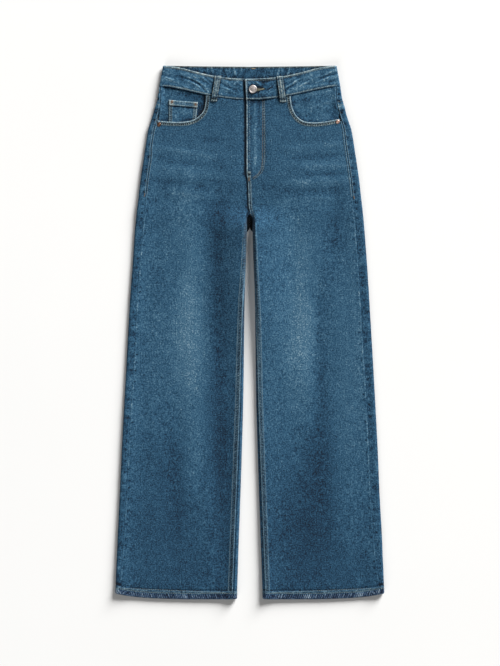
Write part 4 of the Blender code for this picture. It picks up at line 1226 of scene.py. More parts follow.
def coin_pocket(name):
    nx, ny = 76, 70
    g = np.linspace(0, 1, nx)[None, :]
    f = np.linspace(0, 1, ny)[:, None]
    x = 104.0 + 58.0 * g + 0 * f
    top = edge_at(COIN_TOP, x)
    # the foot of the pocket leans in a little on its inner side
    x = x + 5.0 * (1 - g) * (1 - f) ** 1.2
    y = 415.0 + (top - 415.0) * f
    below = top - y
    side = np.minimum(x - 104.0 - 5.0 * (1 - f) ** 1.2, 162.0 - x)
    hem = 1 - ease((below - 10.6) / 1.0)
    edge = 0.9 * np.clip(1 - side / 1.0, 0, 1) ** 2 + 0.9 * np.clip(1 - below / 1.0, 0, 1) ** 2
    welt = 1 - ease((side - 7.6) / 1.4)
    crumple = noise_2d(95, 8, 6, x, y) + 0.5 * noise_2d(96, 3.5, 3.5, x, y)
    seam = np.exp(-((below - 11.8) / 0.9) ** 2)
    rungs = ladder(97, 4.6, y + 0.5 * side)
    along = ladder(98, 5.0, x)
    height = (0.75 * hem + 0.3 * welt - edge - 0.5 * seam + 0.25 * crumple
              + 0.3 * rungs * np.exp(-((side - 3.6) / 2.0) ** 2) * (1 - hem)
              + 0.25 * along * hem * np.exp(-((below - 6) / 3) ** 2))
    seam = np.exp(-((below - 12.4) / 1.4) ** 2)
    ends = np.exp(-((x - 108.5) / 5.5) ** 4) + np.exp(-((x - 156.0) / 5.5) ** 4)
    tone = (0.07 * hem + 0.05 * welt - 0.62 * seam + 0.09 * crumple + 0.13
            + 0.26 * np.exp(-((below - 9.4) / 1.1) ** 2) + 0.24 * np.exp(-((below - 1.4) / 1.2) ** 2)
            + 0.26 * np.exp(-((side - 1.3) / 1.2) ** 2)
            + (0.56 * rungs - 0.36) * np.exp(-((side - 4.2) / 2.1) ** 2) * (1 - hem)
            + (0.22 * along - 0.20) * hem * np.exp(-((below - 5.2) / 2.4) ** 2)
            + 0.26 * hem * ends * ease((below - 0.5) / 1.0))
    shade = np.exp(-((np.hypot((x - 118) / 24, (y - 426) / 8))) ** 2)
    tone = tone - 0.40 * shade
    warm = np.maximum(hem * (0.12 + 0.45 * ends), 0.40 * (1 - ease((side - 6.0) / 1.5)))
    p = coin_point(x, y, -height - 0.25)
    return wall(name, p, CLOTH, [cloth, inside], flip=True, tone=tone, warm=warm)


def mouth_strip(hand, name):
    """The folded and twice stitched edge of a hand pocket, laid over the front."""
    curve = mouth_curve(hand, 330)
    t = np.gradient(curve, axis=0)
    t /= np.linalg.norm(t, axis=1, keepdims=True)
    away = np.stack([t[:, 1], -t[:, 0]], -1)
    arc = np.concatenate([[0], np.cumsum(np.linalg.norm(np.diff(curve, axis=0), axis=1))])
    # across: distance from the mouth's edge, height over the front, going round
    top_w = np.array([0.0, 0.5, 1.1, 1.8, 2.6, 3.4, 4.2, 5.0, 5.8, 6.6, 7.4, 8.2, 9.0, 9.8])
    top_h = np.array([0.05, 0.55, 0.80, 0.82, 0.60, 0.62, 0.66, 0.66, 0.62, 0.52, 0.50, 0.36, 0.12, -0.22])
    rung = ladder(600 + hand, 4.3, arc)[:, None]
    fine = noise_1d(604 + hand, 2.6, arc)[:, None]
    w = top_w[None, :] + 0 * rung
    body = np.exp(-((w - 4.6) / 2.0) ** 2)
    h = top_h[None, :] + body * (0.45 * rung - 0.2) + 0.12 * fine * np.exp(-((w - 2.0) / 2.0) ** 2)
    bottom_w = np.array([9.6, 5.0, 0.8, 0.1])
    bottom_h = np.array([-0.9, -1.15, -1.15, -0.5])
    w = np.concatenate([w, np.broadcast_to(bottom_w, (len(arc), 4))], 1)
    h = np.concatenate([h, np.broadcast_to(bottom_h, (len(arc), 4))], 1)
    body = np.exp(-((w - 4.9) / 2.5) ** 4)
    x = curve[:, :1] + away[:, :1] * w
    y = curve[:, 1:] + away[:, 1:] * w
    low = edge_at(BAND_FRONT_LOW, x) - 0.25
    y = np.minimum(y, low)
    p = front_point(hand, hand * x, y)
    p[..., 2] += h
    tone = (0.58 * np.exp(-((w - 0.7) / 0.9) ** 2) * (1 + 0.25 * fine) - 0.26 * np.exp(-((w - 2.7) / 0.8) ** 2)
            + body * (0.78 * rung - 0.38) + 0.16 * np.exp(-((w - 8.0) / 1.0) ** 2) * (1 + 0.5 * fine))
    tone = tone + front_tone(hand, p[..., 0], p[..., 1]) * (w > 6)
    tone = np.where(h < 0, -0.25, tone)
    warm = np.maximum(0.75 * body, 0.4 * np.exp(-((w - 0.7) / 1.0) ** 2))
    return tube(name, np.swapaxes(p, 0, 1)[::-1] if hand > 0 else np.swapaxes(p, 0, 1), [cloth],
                tone=tone.T[::-1] if hand > 0 else tone.T,
                warm=warm.T[::-1] if hand > 0 else warm.T), curve, away, arc


# --------------------------------------------------------------- waistband
# Creases of the band's front face: ridges above zero, troughs below.
BAND_LINES = [
    Line(-176, 516.0, -151, 509.5, 1.7, -1.0), Line(-168, 512.0, -153, 505.0, 1.5, 0.7),
    Line(-143, 513.0, -114, 504.5, 1.8, -1.0), Line(-118, 506.5, -101, 496.5, 1.8, -1.2),
    Line(-104, 499.5, -87, 481.0, 1.8, -1.1), Line(-108, 506.0, -88, 491.0, 1.6, 0.9),
    Line(-114, 499.0, -98, 489.0, 2.4, 0.9), Line(-105, 510.0, -77, 494.5, 1.7, -1.0),
    Line(-90, 511.5, -75, 498.5, 1.5, -0.8), Line(-98, 511.5, -84, 503.5, 1.5, 0.7),
    Line(-140, 496.0, -122, 488.5, 2.6, 0.7), Line(-165, 503.0, -136, 496.0, 2.0, -0.5),
    Line(-170, 497.5, -150, 493.0, 2.2, 0.5), Line(-139, 495.0, -133, 490.0, 2.2, -1.1),
    Line(-119, 494.5, -116, 487.5, 2.2, -0.9), Line(-84, 488.5, -79, 482.0, 2.0, -0.9),
    Line(-54, 506.5, -40, 497.5, 1.5, 0.8), Line(-33, 496.0, -21, 504.5, 1.5, 0.9),
    Line(-50, 489.5, -36, 485.0, 1.7, 0.7), Line(-54, 494.5, -38, 488.5, 1.5, -0.8),
    Line(-30, 490.0, -15, 484.0, 1.6, -0.7), Line(-44, 503.5, -30, 508.0, 1.4, -0.6),
    Line(-24, 500.0, -12, 492.0, 1.6, 0.7), Line(-52, 480.5, -26, 478.0, 1.5, -0.6),
    Line(11, 503.5, 22, 495.5, 1.5, 0.9), Line(16, 507.5, 28, 500.0, 1.6, -0.8),
    Line(18, 482.5, 38, 495.5, 1.5, 1.1), Line(24, 477.5, 50, 491.0, 1.7, 0.9),
    Line(14, 478.0, 24, 489.0, 1.8, -1.0), Line(34, 484.0, 52, 500.0, 1.7, -0.7),
    Line(70, 489.0, 94, 504.5, 1.7, 1.1), Line(71, 484.5, 96, 500.5, 1.8, -1.2),
    Line(74, 494.5, 92, 508.0, 1.5, -0.7), Line(86, 484.5, 112, 492.5, 2.0, 0.7),
    Line(104, 496.5, 142, 516.5, 1.8, 1.2), Line(100, 498.0, 128, 511.0, 2.6, -0.8),
    Line(112, 495.0, 146, 508.5, 1.8, -1.2), Line(130, 500.5, 158, 510.5, 1.9, 0.9),
    Line(142, 509.5, 178, 519.5, 2.1, -1.3), Line(116, 488.5, 124, 494.5, 2.0, 0.7),
    Line(150, 500.0, 176, 504.5, 2.0, -0.6), Line(128, 492.5, 150, 499.5, 2.0, 0.6),
    Line(158, 520.5, 174, 526.0, 2.4, 0.5), Line(92, 513.0, 100, 509.5, 2.0, -0.8),
    Line(12.5, 473.0, 22, 482.0, 1.3, 1.1), Line(24, 473.5, 43, 488.0, 1.4, 1.2), Line(11, 503.5, 23, 493.0, 1.4, 1.2),
    Line(30, 480.0, 46, 493.0, 1.6, -1.1), Line(26, 500.0, 50, 504.5, 1.6, -0.9), Line(15, 472.0, 19, 484.0, 1.6, -1.0),
]
# Pulled lines across the inside of the band's back, as x, and how bright.
Pull = namedtuple("Pull", "x lean half bright")
BACK_PULLS = [Pull(-122, 2, 2.0, 0.7), Pull(-111, -1, 1.6, 0.6), Pull(-96.3, 1, 1.8, 0.9), Pull(-86, 2, 1.4, 0.5),
              Pull(-74.1, -2, 1.6, 0.9), Pull(-66, 1, 1.3, 0.4), Pull(-58.3, 2, 1.5, 0.8), Pull(-45.5, -2, 1.4, 0.9),
              Pull(-41.0, 1, 1.2, 0.7), Pull(-29.5, -3, 1.5, 1.1), Pull(-16.9, 1, 1.4, 0.8), Pull(-7, 2, 1.3, 0.4),
              Pull(4, -1, 1.8, 0.4), Pull(16, 2, 1.5, 0.5), Pull(29, -1, 1.4, 0.6), Pull(36, 2, 1.2, 0.5),
              Pull(44.5, 2, 1.5, 0.8), Pull(56.5, 3, 1.6, 1.2), Pull(64.5, -1, 1.4, 0.9), Pull(76.5, 3, 1.7, 1.2),
              Pull(88.5, -2, 1.5, 0.9), Pull(98, 2, 1.3, 0.5), Pull(106.5, 2, 1.5, 0.9), Pull(116.5, -2, 1.4, 0.8),
              Pull(128.5, 2, 1.5, 0.8), Pull(138.5, 1, 1.3, 0.7)]
BAND_UP, BAND_DOWN = 2.5, 1.2
BUTTON = (6.2, 487.4)
Hole = namedtuple("Hole", "y end")
HOLE = Hole(487.6, 28.6)
BAND_END, END_LEAN = 7.2, 2.6     # the lapped end: distance past the centre, and more at its top


def band_lift(hand, v):
    """How far the band is raised or lowered at v from the centre, where its ends lap."""
    if hand > 0:
        return BAND_UP * (1 - ease((v - 30.0) / 28.0))
    return -BAND_DOWN * (1 - ease((v - 8.0) / 12.0))


def band_relief(x, y, low, top):
    """(height, tone) of the band's front face."""
    e_top, e_low = top - y, y - low
    lines = ridges(BAND_LINES, x, y, 0.30)
    crumple = 0.7 * noise_2d(801, 12.0, 7.0, x + 0.5 * y, y) + 0.35 * noise_2d(802, 4.0, 3.4, x, y)
    slant = noise_2d(806, 22.0, 3.6, x + np.sign(x) * 0.55 * y, y - np.sign(x) * 0.45 * x)
    middle = ease(e_top / 4.0) * ease((e_low - 3.0) / 3.0)
    height = 0.80 * lines * middle + (0.16 * crumple + 0.30 * slant) * middle
    stitch = np.exp(-((e_top - 4.2) / 0.9) ** 2) + np.exp(-((e_low - 2.9) / 0.8) ** 2)
    height = height - 0.25 * stitch + 0.25 * np.exp(-((e_top - 1.6) / 1.3) ** 2)
    fine = noise_1d(803, 3.0, x)
    slow = noise_1d(807, 14.0, x)
    # the creases and crumples are lighter where raised and darker where sunk: painted light and shade
    tone = (0.24 * lines + 0.11 * crumple + 0.18 * slant) * middle + 0.07
    tone = tone + 0.09 * ease((np.abs(x) - 40.0) / 50.0) - 0.22 * np.exp(-((x - 30.0) / 19.0) ** 4) * middle
    tone = tone + 0.32 * np.exp(-((e_top - 1.2) / 1.0) ** 2) * (0.85 + 0.35 * fine)
    tone = tone - 0.20 * np.exp(-((e_top - 4.6) / 1.2) ** 2) * (1 + 0.5 * slow) + 0.03 * fine
    tone = tone - 0.16 * np.exp(-((e_low - 5.6) / 1.6) ** 2) - 0.55 * np.exp(-(e_low / 1.3) ** 2)
    tone = tone + 0.24 * np.exp(-((e_low - 3.3) / 1.1) ** 2) * (0.7 + 0.4 * fine + 0.45 * slow)
    # shade beside the loops, round the button and in its buttonhole
    for l in FRONT_LOOPS:
        k = (y - l.low[1]) / (l.top[1] - l.low[1])
        off = np.maximum(np.abs(x - l.low[0] - (l.top[0] - l.low[0]) * k) - LOOP_HALF, 0)
        tone = tone - 0.55 * np.exp(-(off / 2.1) ** 2) * ease((e_top - 0.5) / 2.0)
    away = np.hypot(x - BUTTON[0], y - BUTTON[1])
    tone = tone - 0.60 * np.exp(-((away - 8.9) / 1.3) ** 2)
    k = np.clip((x - 14.0) / (HOLE.end - 14.0), 0, 1)
    slit = np.exp(-((y - HOLE.y - 3.6 + 1.0 * k) / 1.5) ** 2) * ease((HOLE.end - 0.2 - x) / 2.5) * ease((x - 10.0) / 2.0)
    tone = tone - 0.80 * slit
    tone = tone + 0.20 * np.exp(-((x + 1.5) / 3.4) ** 4 - ((y - 500.5) / 3.4) ** 4)
    return height, tone


def waistband(name):
    parts = []
    fronts = {-1: np.arange(-14.0, 168.5, 1.05),
              1: np.concatenate([[-7.2, -6.9, -6.4, -5.7, -4.9, -4.0], np.arange(-3.1, 168.5, 1.05)])}
    turn = np.linspace(0.04, 1.96, 14)
    backs = np.arange(168.0, 1.0, -2.2)
    edge = np.array([0, 0.4, 0.9, 1.6, 2.4, 3.3, 4.3, 5.5]) / 40.0
    f = np.concatenate([edge, np.linspace(edge[-1], 1 - edge[-1], 24)[1:-1], (1 - edge)[::-1]])
    for hand in (-1, 1):
        v = np.concatenate([fronts[hand], turn * 0, backs * 0])
        kind = np.concatenate([fronts[hand] * 0, turn * 0 + 1, backs * 0 + 2])
        tt = np.concatenate([fronts[hand] * 0, turn, backs * 0])
        xb = np.concatenate([fronts[hand] * 0, turn * 0, backs])
        level = np.full((len(f), len(v)), 515.0)
        for _ in range(5):
            r = radius_at(level)
            q = r * math.pi / 2
            side = column("side", level)
            lean = END_LEAN * f[:, None] * (1 - ease((v + BAND_END) / 16.0)) * (hand > 0)
            s = np.where(kind == 0, q + side - r - v + lean, np.where(kind == 1, q - tt * q, -q - (side - r - xb)))
            p, nz = skin(hand, level, s, True, relief=False)
            x = np.abs(p[..., 0])
            share = ease((nz + 1) / 2)
            low = edge_at(BAND_FRONT_LOW, x) * share + edge_at(BAND_BACK_LOW, x) * (1 - share)
            top = edge_at(BAND_FRONT_TOP, x) * share + edge_at(BAND_BACK_TOP, x) * (1 - share)
            if hand > 0:   # the rounded corner of the upper end
                end = v + BAND_END
                corner = np.where(kind == 0, np.clip(1 - end / 5.0, 0, 1) ** 2, 0)
                top = top - 2.6 * corner
            level = low + (top - low) * f[:, None]
        signed = p[..., 0]
        height, tone = band_relief(signed, level, low, top)
        front = np.where(kind == 0, 1.0, 0.0) * np.ones_like(level)
        face = ease((nz + 0.2) / 1.2)
        height, tone = height * face, tone * face + 0.10 * (1 - face) * noise_2d(805, 8, 6, signed, level)
        under = nz < -0.3
        e = np.minimum(level - low, top - level)
        roll = 1.1 * np.clip(1 - e / 1.2, 0, 1) ** 2
        thick = 2.4 - 2 * roll + height * 0.6
        e_top = top - level
        warm = front * (0.6 * np.exp(-((e_top - 1.6) / 2.2) ** 2) + 0.55 * np.exp(-((level - low - 2.9) / 1.4) ** 2))
        if hand > 0:
            end = (v + BAND_END)[None, :] + 0 * level
            near = front * np.exp(-((end - 1.3) / 1.1) ** 2)
            brim = front * np.exp(-((e_top - 1.3) / 1.3) ** 2) * (1 - ease((end - 9.0) / 5.0))
            tone = tone + 0.58 * np.maximum(near, brim) - front * 0.22 * np.exp(-((end - 5.0) / 1.2) ** 2)
            warm = warm * (1 - brim) + 0.3 * near
            r2 = front * np.clip(1 - end / 1.3, 0, 1) ** 2
            roll = np.maximum(roll, 1.1 * r2)
            height = height + 0.3 * near
        else:
            hidden = front * ease((8.5 - v) / 4.0)[None, :]
            height = height * (1 - hidden)
            shade = front * np.clip((BAND_END + END_LEAN * f[:, None] + 5.8 - v[None, :]) / 2.4, 0, 1)
            tone = tone * (1 - shade) - 0.75 * shade * ease((e_top - 0.5) / 2.5)
        tone_inner = np.zeros_like(tone)
        # the inside of the back band, which shows above the front
        back = np.where(kind == 2, 1.0, np.where(kind == 1, ease((tt - 1.0) / 0.9), 0.0))[None, :]
        pull = np.zeros_like(tone)
        for b in BACK_PULLS:
            off = signed - b.x - b.lean * (level - 520.0) / 10.0
            pull += b.bright * np.exp(-(off / b.half) ** 2)
        crumple = noise_2d(811, 4.0, 6.0, signed, level) + 0.6 * noise_2d(812, 2.6, 3.4, signed, level)
        inner_h = back * (0.8 * pull + 0.3 * crumple)
        tone_inner = back * (-0.13 + 0.44 * pull * ease(e_top / 4.0) * (0.7 + 0.5 * crumple) + 0.16 * crumple
                             - 0.10 * np.exp(-((e_top - 4.0) / 1.6) ** 2))
        # painted shade on the back band's inside, up to 5 mm above the front band's top edge
        painted_deep_shade = back * np.clip(1 - (level - edge_at(BAND_FRONT_TOP, x) ) / 5.0, 0, 1)
        tone_inner = tone_inner - 0.22 * painted_deep_shade
        warm_inner = back * 0.85 * np.exp(-((e_top - 0.8) / 2.6) ** 4)
        thick = np.where(back > 0.5, 2.4 - 2 * roll * 0.8 + inner_h, thick)
        height = np.where(under, np.minimum(height, 0), height)
        q0, _ = skin(hand, level, s, True, roll - height, relief=False)
        n = normals_of(q0)
        lift = np.where(kind == 0, band_lift(hand, v), 0.0)
        q0[..., 2] += lift
        parts.append((q0, thick, tone, tone_inner, warm, warm_inner))
    right, left = parts
    join = lambda i: np.concatenate([right[i], left[i][:, ::-1]], axis=1)
    p = join(0)
    p[..., 2] = np.maximum(p[..., 2], 1.5)
    return wall(name, p, join(1), [cloth], flip=True, tone=join(2), tone_inner=join(3), warm=join(4), warm_inner=join(5))


def band_point(x, y, up=0.0):
    """Points on the band's front face."""
    x, y = np.broadcast_arrays(np.asarray(x, float), np.asarray(y, float))
    out = np.zeros(x.shape + (3,))
    for hand in (-1, 1):
        v = hand * x
        mine = (v >= 0) | ((hand > 0) & (v >= -BAND_END))
        r = radius_at(y)
        s = r * math.pi / 2 + column("side", y) - r - v
        low, top = edge_at(BAND_FRONT_LOW, np.abs(x)), edge_at(BAND_FRONT_TOP, np.abs(x))
        height, _ = band_relief(x, y, low, top)
        p, _ = skin(hand, y, s, True, -height - up, relief=False)
        p[..., 2] += band_lift(hand, v)
        take = mine if hand > 0 else (mine & (x < -BAND_END))
        out = np.where(take[..., None], p, out)
    return out


# -------------------------------------------------------------- belt loops
Loop = namedtuple("Loop", "name top low")
LOOP_HALF = 6.2
FRONT_LOOPS = [
    Loop("belt_loop_front_right", (-63.4, 514.0), (-72.0, 463.0)),
    Loop("belt_loop_front_left", (59.6, 513.6), (66.8, 461.5)),
]
BACK_LOOPS = [
    Loop("belt_loop_back_right", (-116.0, 532.6), (-119.0, 482.0)),
    Loop("belt_loop_back_centre", (0.0, 531.6), (0.0, 481.0)),
    Loop("belt_loop_back_left", (116.0, 532.6), (119.0, 482.0)),
]


def carrier_z(x, y):
    """Height of what a front loop lies on."""
    low = edge_at(BAND_FRONT_LOW, np.abs(x))
    r = radius_at(y)
    z = column("lift", y) + 2 * r
    lift = np.where(x > 0, band_lift(1, np.abs(x)), band_lift(-1, np.abs(x)))
    return z + lift * ease((y - low + 1) / 2.0)


def belt_loop(loop, front, seed):
    n, m = 96, 26
    t = np.linspace(0, 1, n)[:, None]
    g = np.linspace(-1, 1, m)[None, :]
    half = LOOP_HALF * (1 - 0.05 * np.exp(-((t - 0.5) / 0.3) ** 2))
    x = loop.low[0] + (loop.top[0] - loop.low[0]) * t + g * half
    y = loop.low[1] + (loop.top[1] - loop.low[1]) * t + 0 * g
    mid_x = loop.low[0] + (loop.top[0] - loop.low[0]) * t
    end = np.minimum(t, 1 - t) * 51.0
    fine = noise_1d(seed, 2.4, y + 2.0 * g)
    ridge = np.exp(-(g / 0.16) ** 2) + 0.7 * np.exp(-((np.abs(g) - 0.84) / 0.12) ** 2)
    groove = np.exp(-((np.abs(g) - 0.62) / 0.09) ** 2)
    round_side = 1 - np.sqrt(np.clip(1 - np.clip((np.abs(g) - 0.82) / 0.18, 0, 1) ** 2, 0, 1))
    round_end = 1 - np.sqrt(np.clip(1 - np.clip(1 - end / 1.4, 0, 1) ** 2, 0, 1))
    tack = np.exp(-((end - 3.2) / 1.2) ** 2)
    h = 0.35 * ridge - 0.25 * groove + 0.12 * fine - 1.3 * round_side - 1.2 * round_end - 0.5 * tack
    grit = noise_2d(seed + 2, 2.6, 4.0, x, y)
    # painted shade darkens the rounded sides
    tone = (0.10 + 0.26 * ridge - 0.16 * groove + 0.08 * fine + 0.16 * grit - 0.30 * round_side
            - 0.40 * np.exp(-((end - 6.4) / 1.3) ** 2) + 0.30 * np.exp(-((end - 1.6) / 1.5) ** 2))
    arch = 1.6 * ease(end / 11.0) if front else 0.0
    rng = noise_1d(seed + 1, 11.0, y)
    tone = tone + 0.06 * rng
    warm = 0.46 + 0.25 * ridge + 0.2 * grit
    if front:
        base = carrier_z(mid_x, y) + 0.35
        base = np.maximum.accumulate(base[::-1])[::-1] if False else base
        z = base + arch + 2.0 + h
        low = base + arch + 0.0 + 0 * g
        top_face = np.stack([x, y, z], -1)
        bottom = np.stack([x, y, np.minimum(low, z - 0.3)], -1)
    else:
        z = 0.08 - h * 0.0 + 0.5 * np.clip(-h, 0, 2)
        top_face = np.stack([x, y, z + 0 * g], -1)
        bottom = np.stack([x, y, 0 * x + 2.0], -1)
    return slab(loop.name + "_cloth", top_face, bottom, [cloth], flip=not front, tone=tone, warm=warm)


def slab(name, a, b, materials, flip=False, tone=None, warm=0.0):
    """A closed piece between two grids of the same size."""
    rows, cols = a.shape[:2]
    idx = np.arange(rows * cols).reshape(rows, cols)
    q = np.stack([idx[:-1, :-1], idx[:-1, 1:], idx[1:, 1:], idx[1:, :-1]], -1).reshape(-1, 4)
    off = rows * cols
    rim = np.concatenate([idx[0, :], idx[1:, -1], idx[-1, -2::-1], idx[-2:0:-1, 0]])
    nxt = np.roll(rim, -1)
    sides = np.stack([nxt, rim, rim + off, nxt + off], -1)
    faces = np.concatenate([q, q[:, ::-1] + off, sides])
    if flip:
        faces = faces[:, ::-1]
    t = np.zeros((rows, cols)) if tone is None else np.broadcast_to(tone, (rows, cols))
    w = np.clip(np.broadcast_to(warm, (rows, cols)).ravel(), 0, 1)
    return new_mesh(name, np.concatenate([a.reshape(-1, 3), b.reshape(-1, 3)]), faces, materials,
                    tone=np.concatenate([t.ravel(), t.ravel() - 0.1]), warm=np.concatenate([w, w]))


# ------------------------------------------------------------- back pockets
def pocket_outline(u, w):
    """Points of a back pocket, u across from -1 to 1 and w up from 0 to 1."""
    x = u * (63.0 + 10.0 * w)
    low = -158.0 + 26.0 * np.abs(u)
    return x, low * (1 - w)


def back_pocket(hand, name):
    n, m = 84, 80
    u = np.linspace(-1, 1, m)[None, :] + np.zeros((n, 1))
    w = np.linspace(0, 1, n)[:, None] + np.zeros((1, m))
    x, y = pocket_outline(u, w)
    lean = math.radians(3.0) * hand
    px = hand * 98.0 + x * math.cos(lean) - y * math.sin(lean)
    py = 411.0 + x * math.sin(lean) + y * math.cos(lean)
    side = (1 - np.abs(u)) * 68.0
    foot = w * 140.0
    top = (1 - w) * 150.0
    e = np.minimum(np.minimum(side, foot), top)
    welt = np.exp(-((np.minimum(side, foot) - 4.6) / 2.2) ** 2)
    hem = np.exp(-((top - 13.0) / 1.1) ** 2)
    rung = ladder(900 + hand, 4.4, px + py)
    round_edge = 1 - np.sqrt(np.clip(1 - np.clip(1 - e / 1.0, 0, 1) ** 2, 0, 1))
    up = 0.55 * round_edge + 0.18 * np.exp(-((np.minimum(side, foot) - 8.5) / 0.8) ** 2) + 0.2 * hem
    tone = (0.10 + 0.12 * np.exp(-((e - 0.9) / 1.0) ** 2) - 0.16 * hem + welt * (0.16 * rung - 0.10)
            + 0.04 * noise_2d(905, 12, 18, px, py))
    face = np.stack([px, py, 0.04 + up], -1)
    inner = np.stack([px, py, np.full_like(px, 1.12)], -1)
    return slab(name, face, inner, [cloth], flip=True, tone=tone), lean


# ----------------------------------------------------------------- fittings
def lathe(name, profile, at, material, steps=72, tilt=0.0, turn=0.0):
    """A turned piece from (radius, height) points, top to bottom."""
    ang = np.arange(steps) / steps * math.tau
    prof = np.asarray(profile, float)
    x = prof[:, 0][None, :] * np.cos(ang)[:, None]
    y = prof[:, 0][None, :] * np.sin(ang)[:, None]
    z = prof[:, 1][None, :] + 0 * x
    if tilt:
        c, s = math.cos(turn), math.sin(turn)
        z = z + tilt * (x * c + y * s)
    p = np.stack([x + at[0], y + at[1], z + at[2]], -1)
    n, m = len(ang), len(prof)
    idx = np.arange(n * m).reshape(n, m)
    nxt = np.roll(idx, -1, axis=0)
    q = np.stack([idx[:, :-1], idx[:, 1:], nxt[:, 1:], nxt[:, :-1]], -1).reshape(-1, 4)
    verts = p.reshape(-1, 3)
    ends = []
    for j, turned in ((0, False), (m - 1, True)):
        middle = len(verts)
        verts = np.concatenate([verts, verts[idx[:, j]].mean(0)[None]])
        a, b = idx[:, j], np.roll(idx[:, j], -1)
        tri = [b, a] if turned else [a, b]
        ends.append(np.stack([tri[0], tri[1], np.full(n, middle), np.full(n, -1)], -1))
    return new_mesh(name, verts, np.concatenate([q] + ends), [material])


def placed(obj, node=None):
    """The piece rides on the one body, and may stand for a node, whose part is then hidden."""
    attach(obj, "root")
    if node:
        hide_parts(node)
    return obj


SIDES = ((-1, "right"), (1, "left"))
mouths = {}
for h, n in SIDES:
    placed(front_panel(h, "front_%s_cloth" % n), "front_" + n)
    placed(back_panel(h, "back_%s_cloth" % n), "back_" + n)
    placed(yoke(h, "yoke_%s_cloth" % n), "back_yoke_" + n)
    placed(facing(h, "pocket_facing_%s_cloth" % n), "pocket_facing_" + n)
    strip, curve, away, arc = mouth_strip(h, "pocket_mouth_%s" % n)
    placed(strip)
    mouths[h] = (curve, away)
    pocket, lean = back_pocket(h, "back_pocket_%s_cloth" % n)
    placed(pocket, "back_pocket_" + n)
placed(coin_pocket("coin_pocket_cloth"), "coin_pocket")
placed(waistband("waistband_cloth"), "waistband")
for k, l in enumerate(FRONT_LOOPS):
    placed(belt_loop(l, True, 950 + k), l.name)
for k, l in enumerate(BACK_LOOPS):
    placed(belt_loop(l, False, 960 + k), l.name)

# The button: a plain domed cap with a raised rim and a shallow ring.
band_top = float(column("lift", 488.8) + 2 * radius_at(488.8)) + BAND_UP
cap = [(0.02, 2.15), (1.6, 2.14), (3.0, 2.08), (4.2, 1.98), (5.0, 1.86), (5.4, 1.72), (5.65, 1.70), (5.9, 1.78),
       (6.4, 2.02), (7.0, 2.10), (7.5, 1.98), (7.9, 1.70), (8.1, 1.25), (8.05, 0.75), (7.8, 0.35), (7.3, 0.12),
       (5.0, 0.02), (3.0, 0.0), (2.4, -0.4), (2.2, -1.2), (2.2, -2.6), (0.02, -2.6)]
silver = metal("button_silver", (226, 220, 218), (176, 166, 164), 0.45)
copper = metal("rivet_copper", (136, 104, 86), (66, 48, 42), 0.42)
# the right pocket rivet gets a pale copy of the copper: a painted highlight
pale = metal("rivet_copper_highlight", (226, 200, 190), (128, 84, 64), 0.42)
dull = metal("rivet_dull", (142, 118, 104), (82, 64, 56), 0.5)
placed(lathe("button_cap", cap, (BUTTON[0], BUTTON[1], band_top + 0.55), silver, 96), "button")

Rivet = namedtuple("Rivet", "name x y radius depth tilt")
RIVETS = [Rivet("rivet_pocket_right", -181.5, 416.7, 4.0, 0.0, 0.04),
          Rivet("rivet_pocket_left", 175.9, 422.3, 4.0, 0.0, -0.05),
          Rivet("rivet_coin_outer", -155.7, 462.1, 3.2, 1.4, 0.05),
          Rivet("rivet_coin_inner", -107.7, 457.3, 3.2, 1.4, -0.04)]
for r in RIVETS:
    h = 1 if r.x > 0 else -1
    base = float(column("lift", r.y) + 2 * radius_at(r.y)) - r.depth + (0.55 if r.depth == 0 else 0.9)
    k = r.radius / 4.0
    head = [(0.02, 0.85), (0.5, 0.95), (1.0, 0.90), (1.25, 0.62), (1.5, 0.50), (2.0, 0.66), (2.6, 0.80), (3.2, 0.76),
            (3.7, 0.55), (4.0, 0.22), (3.95, -0.1), (3.4, -0.3), (0.02, -0.35)]
    # the pale copy on the right pocket rivet is a painted highlight
    finish = dull if "coin" in r.name else (pale if r.x > 0 else copper)
    placed(lathe(r.name + "_head", [(a * k, b * (0.8 + 0.2 * k)) for a, b in head], (r.x, r.y, base), finish, 56, r.tilt, 0.8),
           r.name)

# ------------------------------------------------------------------ threads
grey = Thread("stitches_grey", thread)
rust = Thread("stitches_rust", thread_rust)
tan = Thread("stitches_tan", thread_tan)

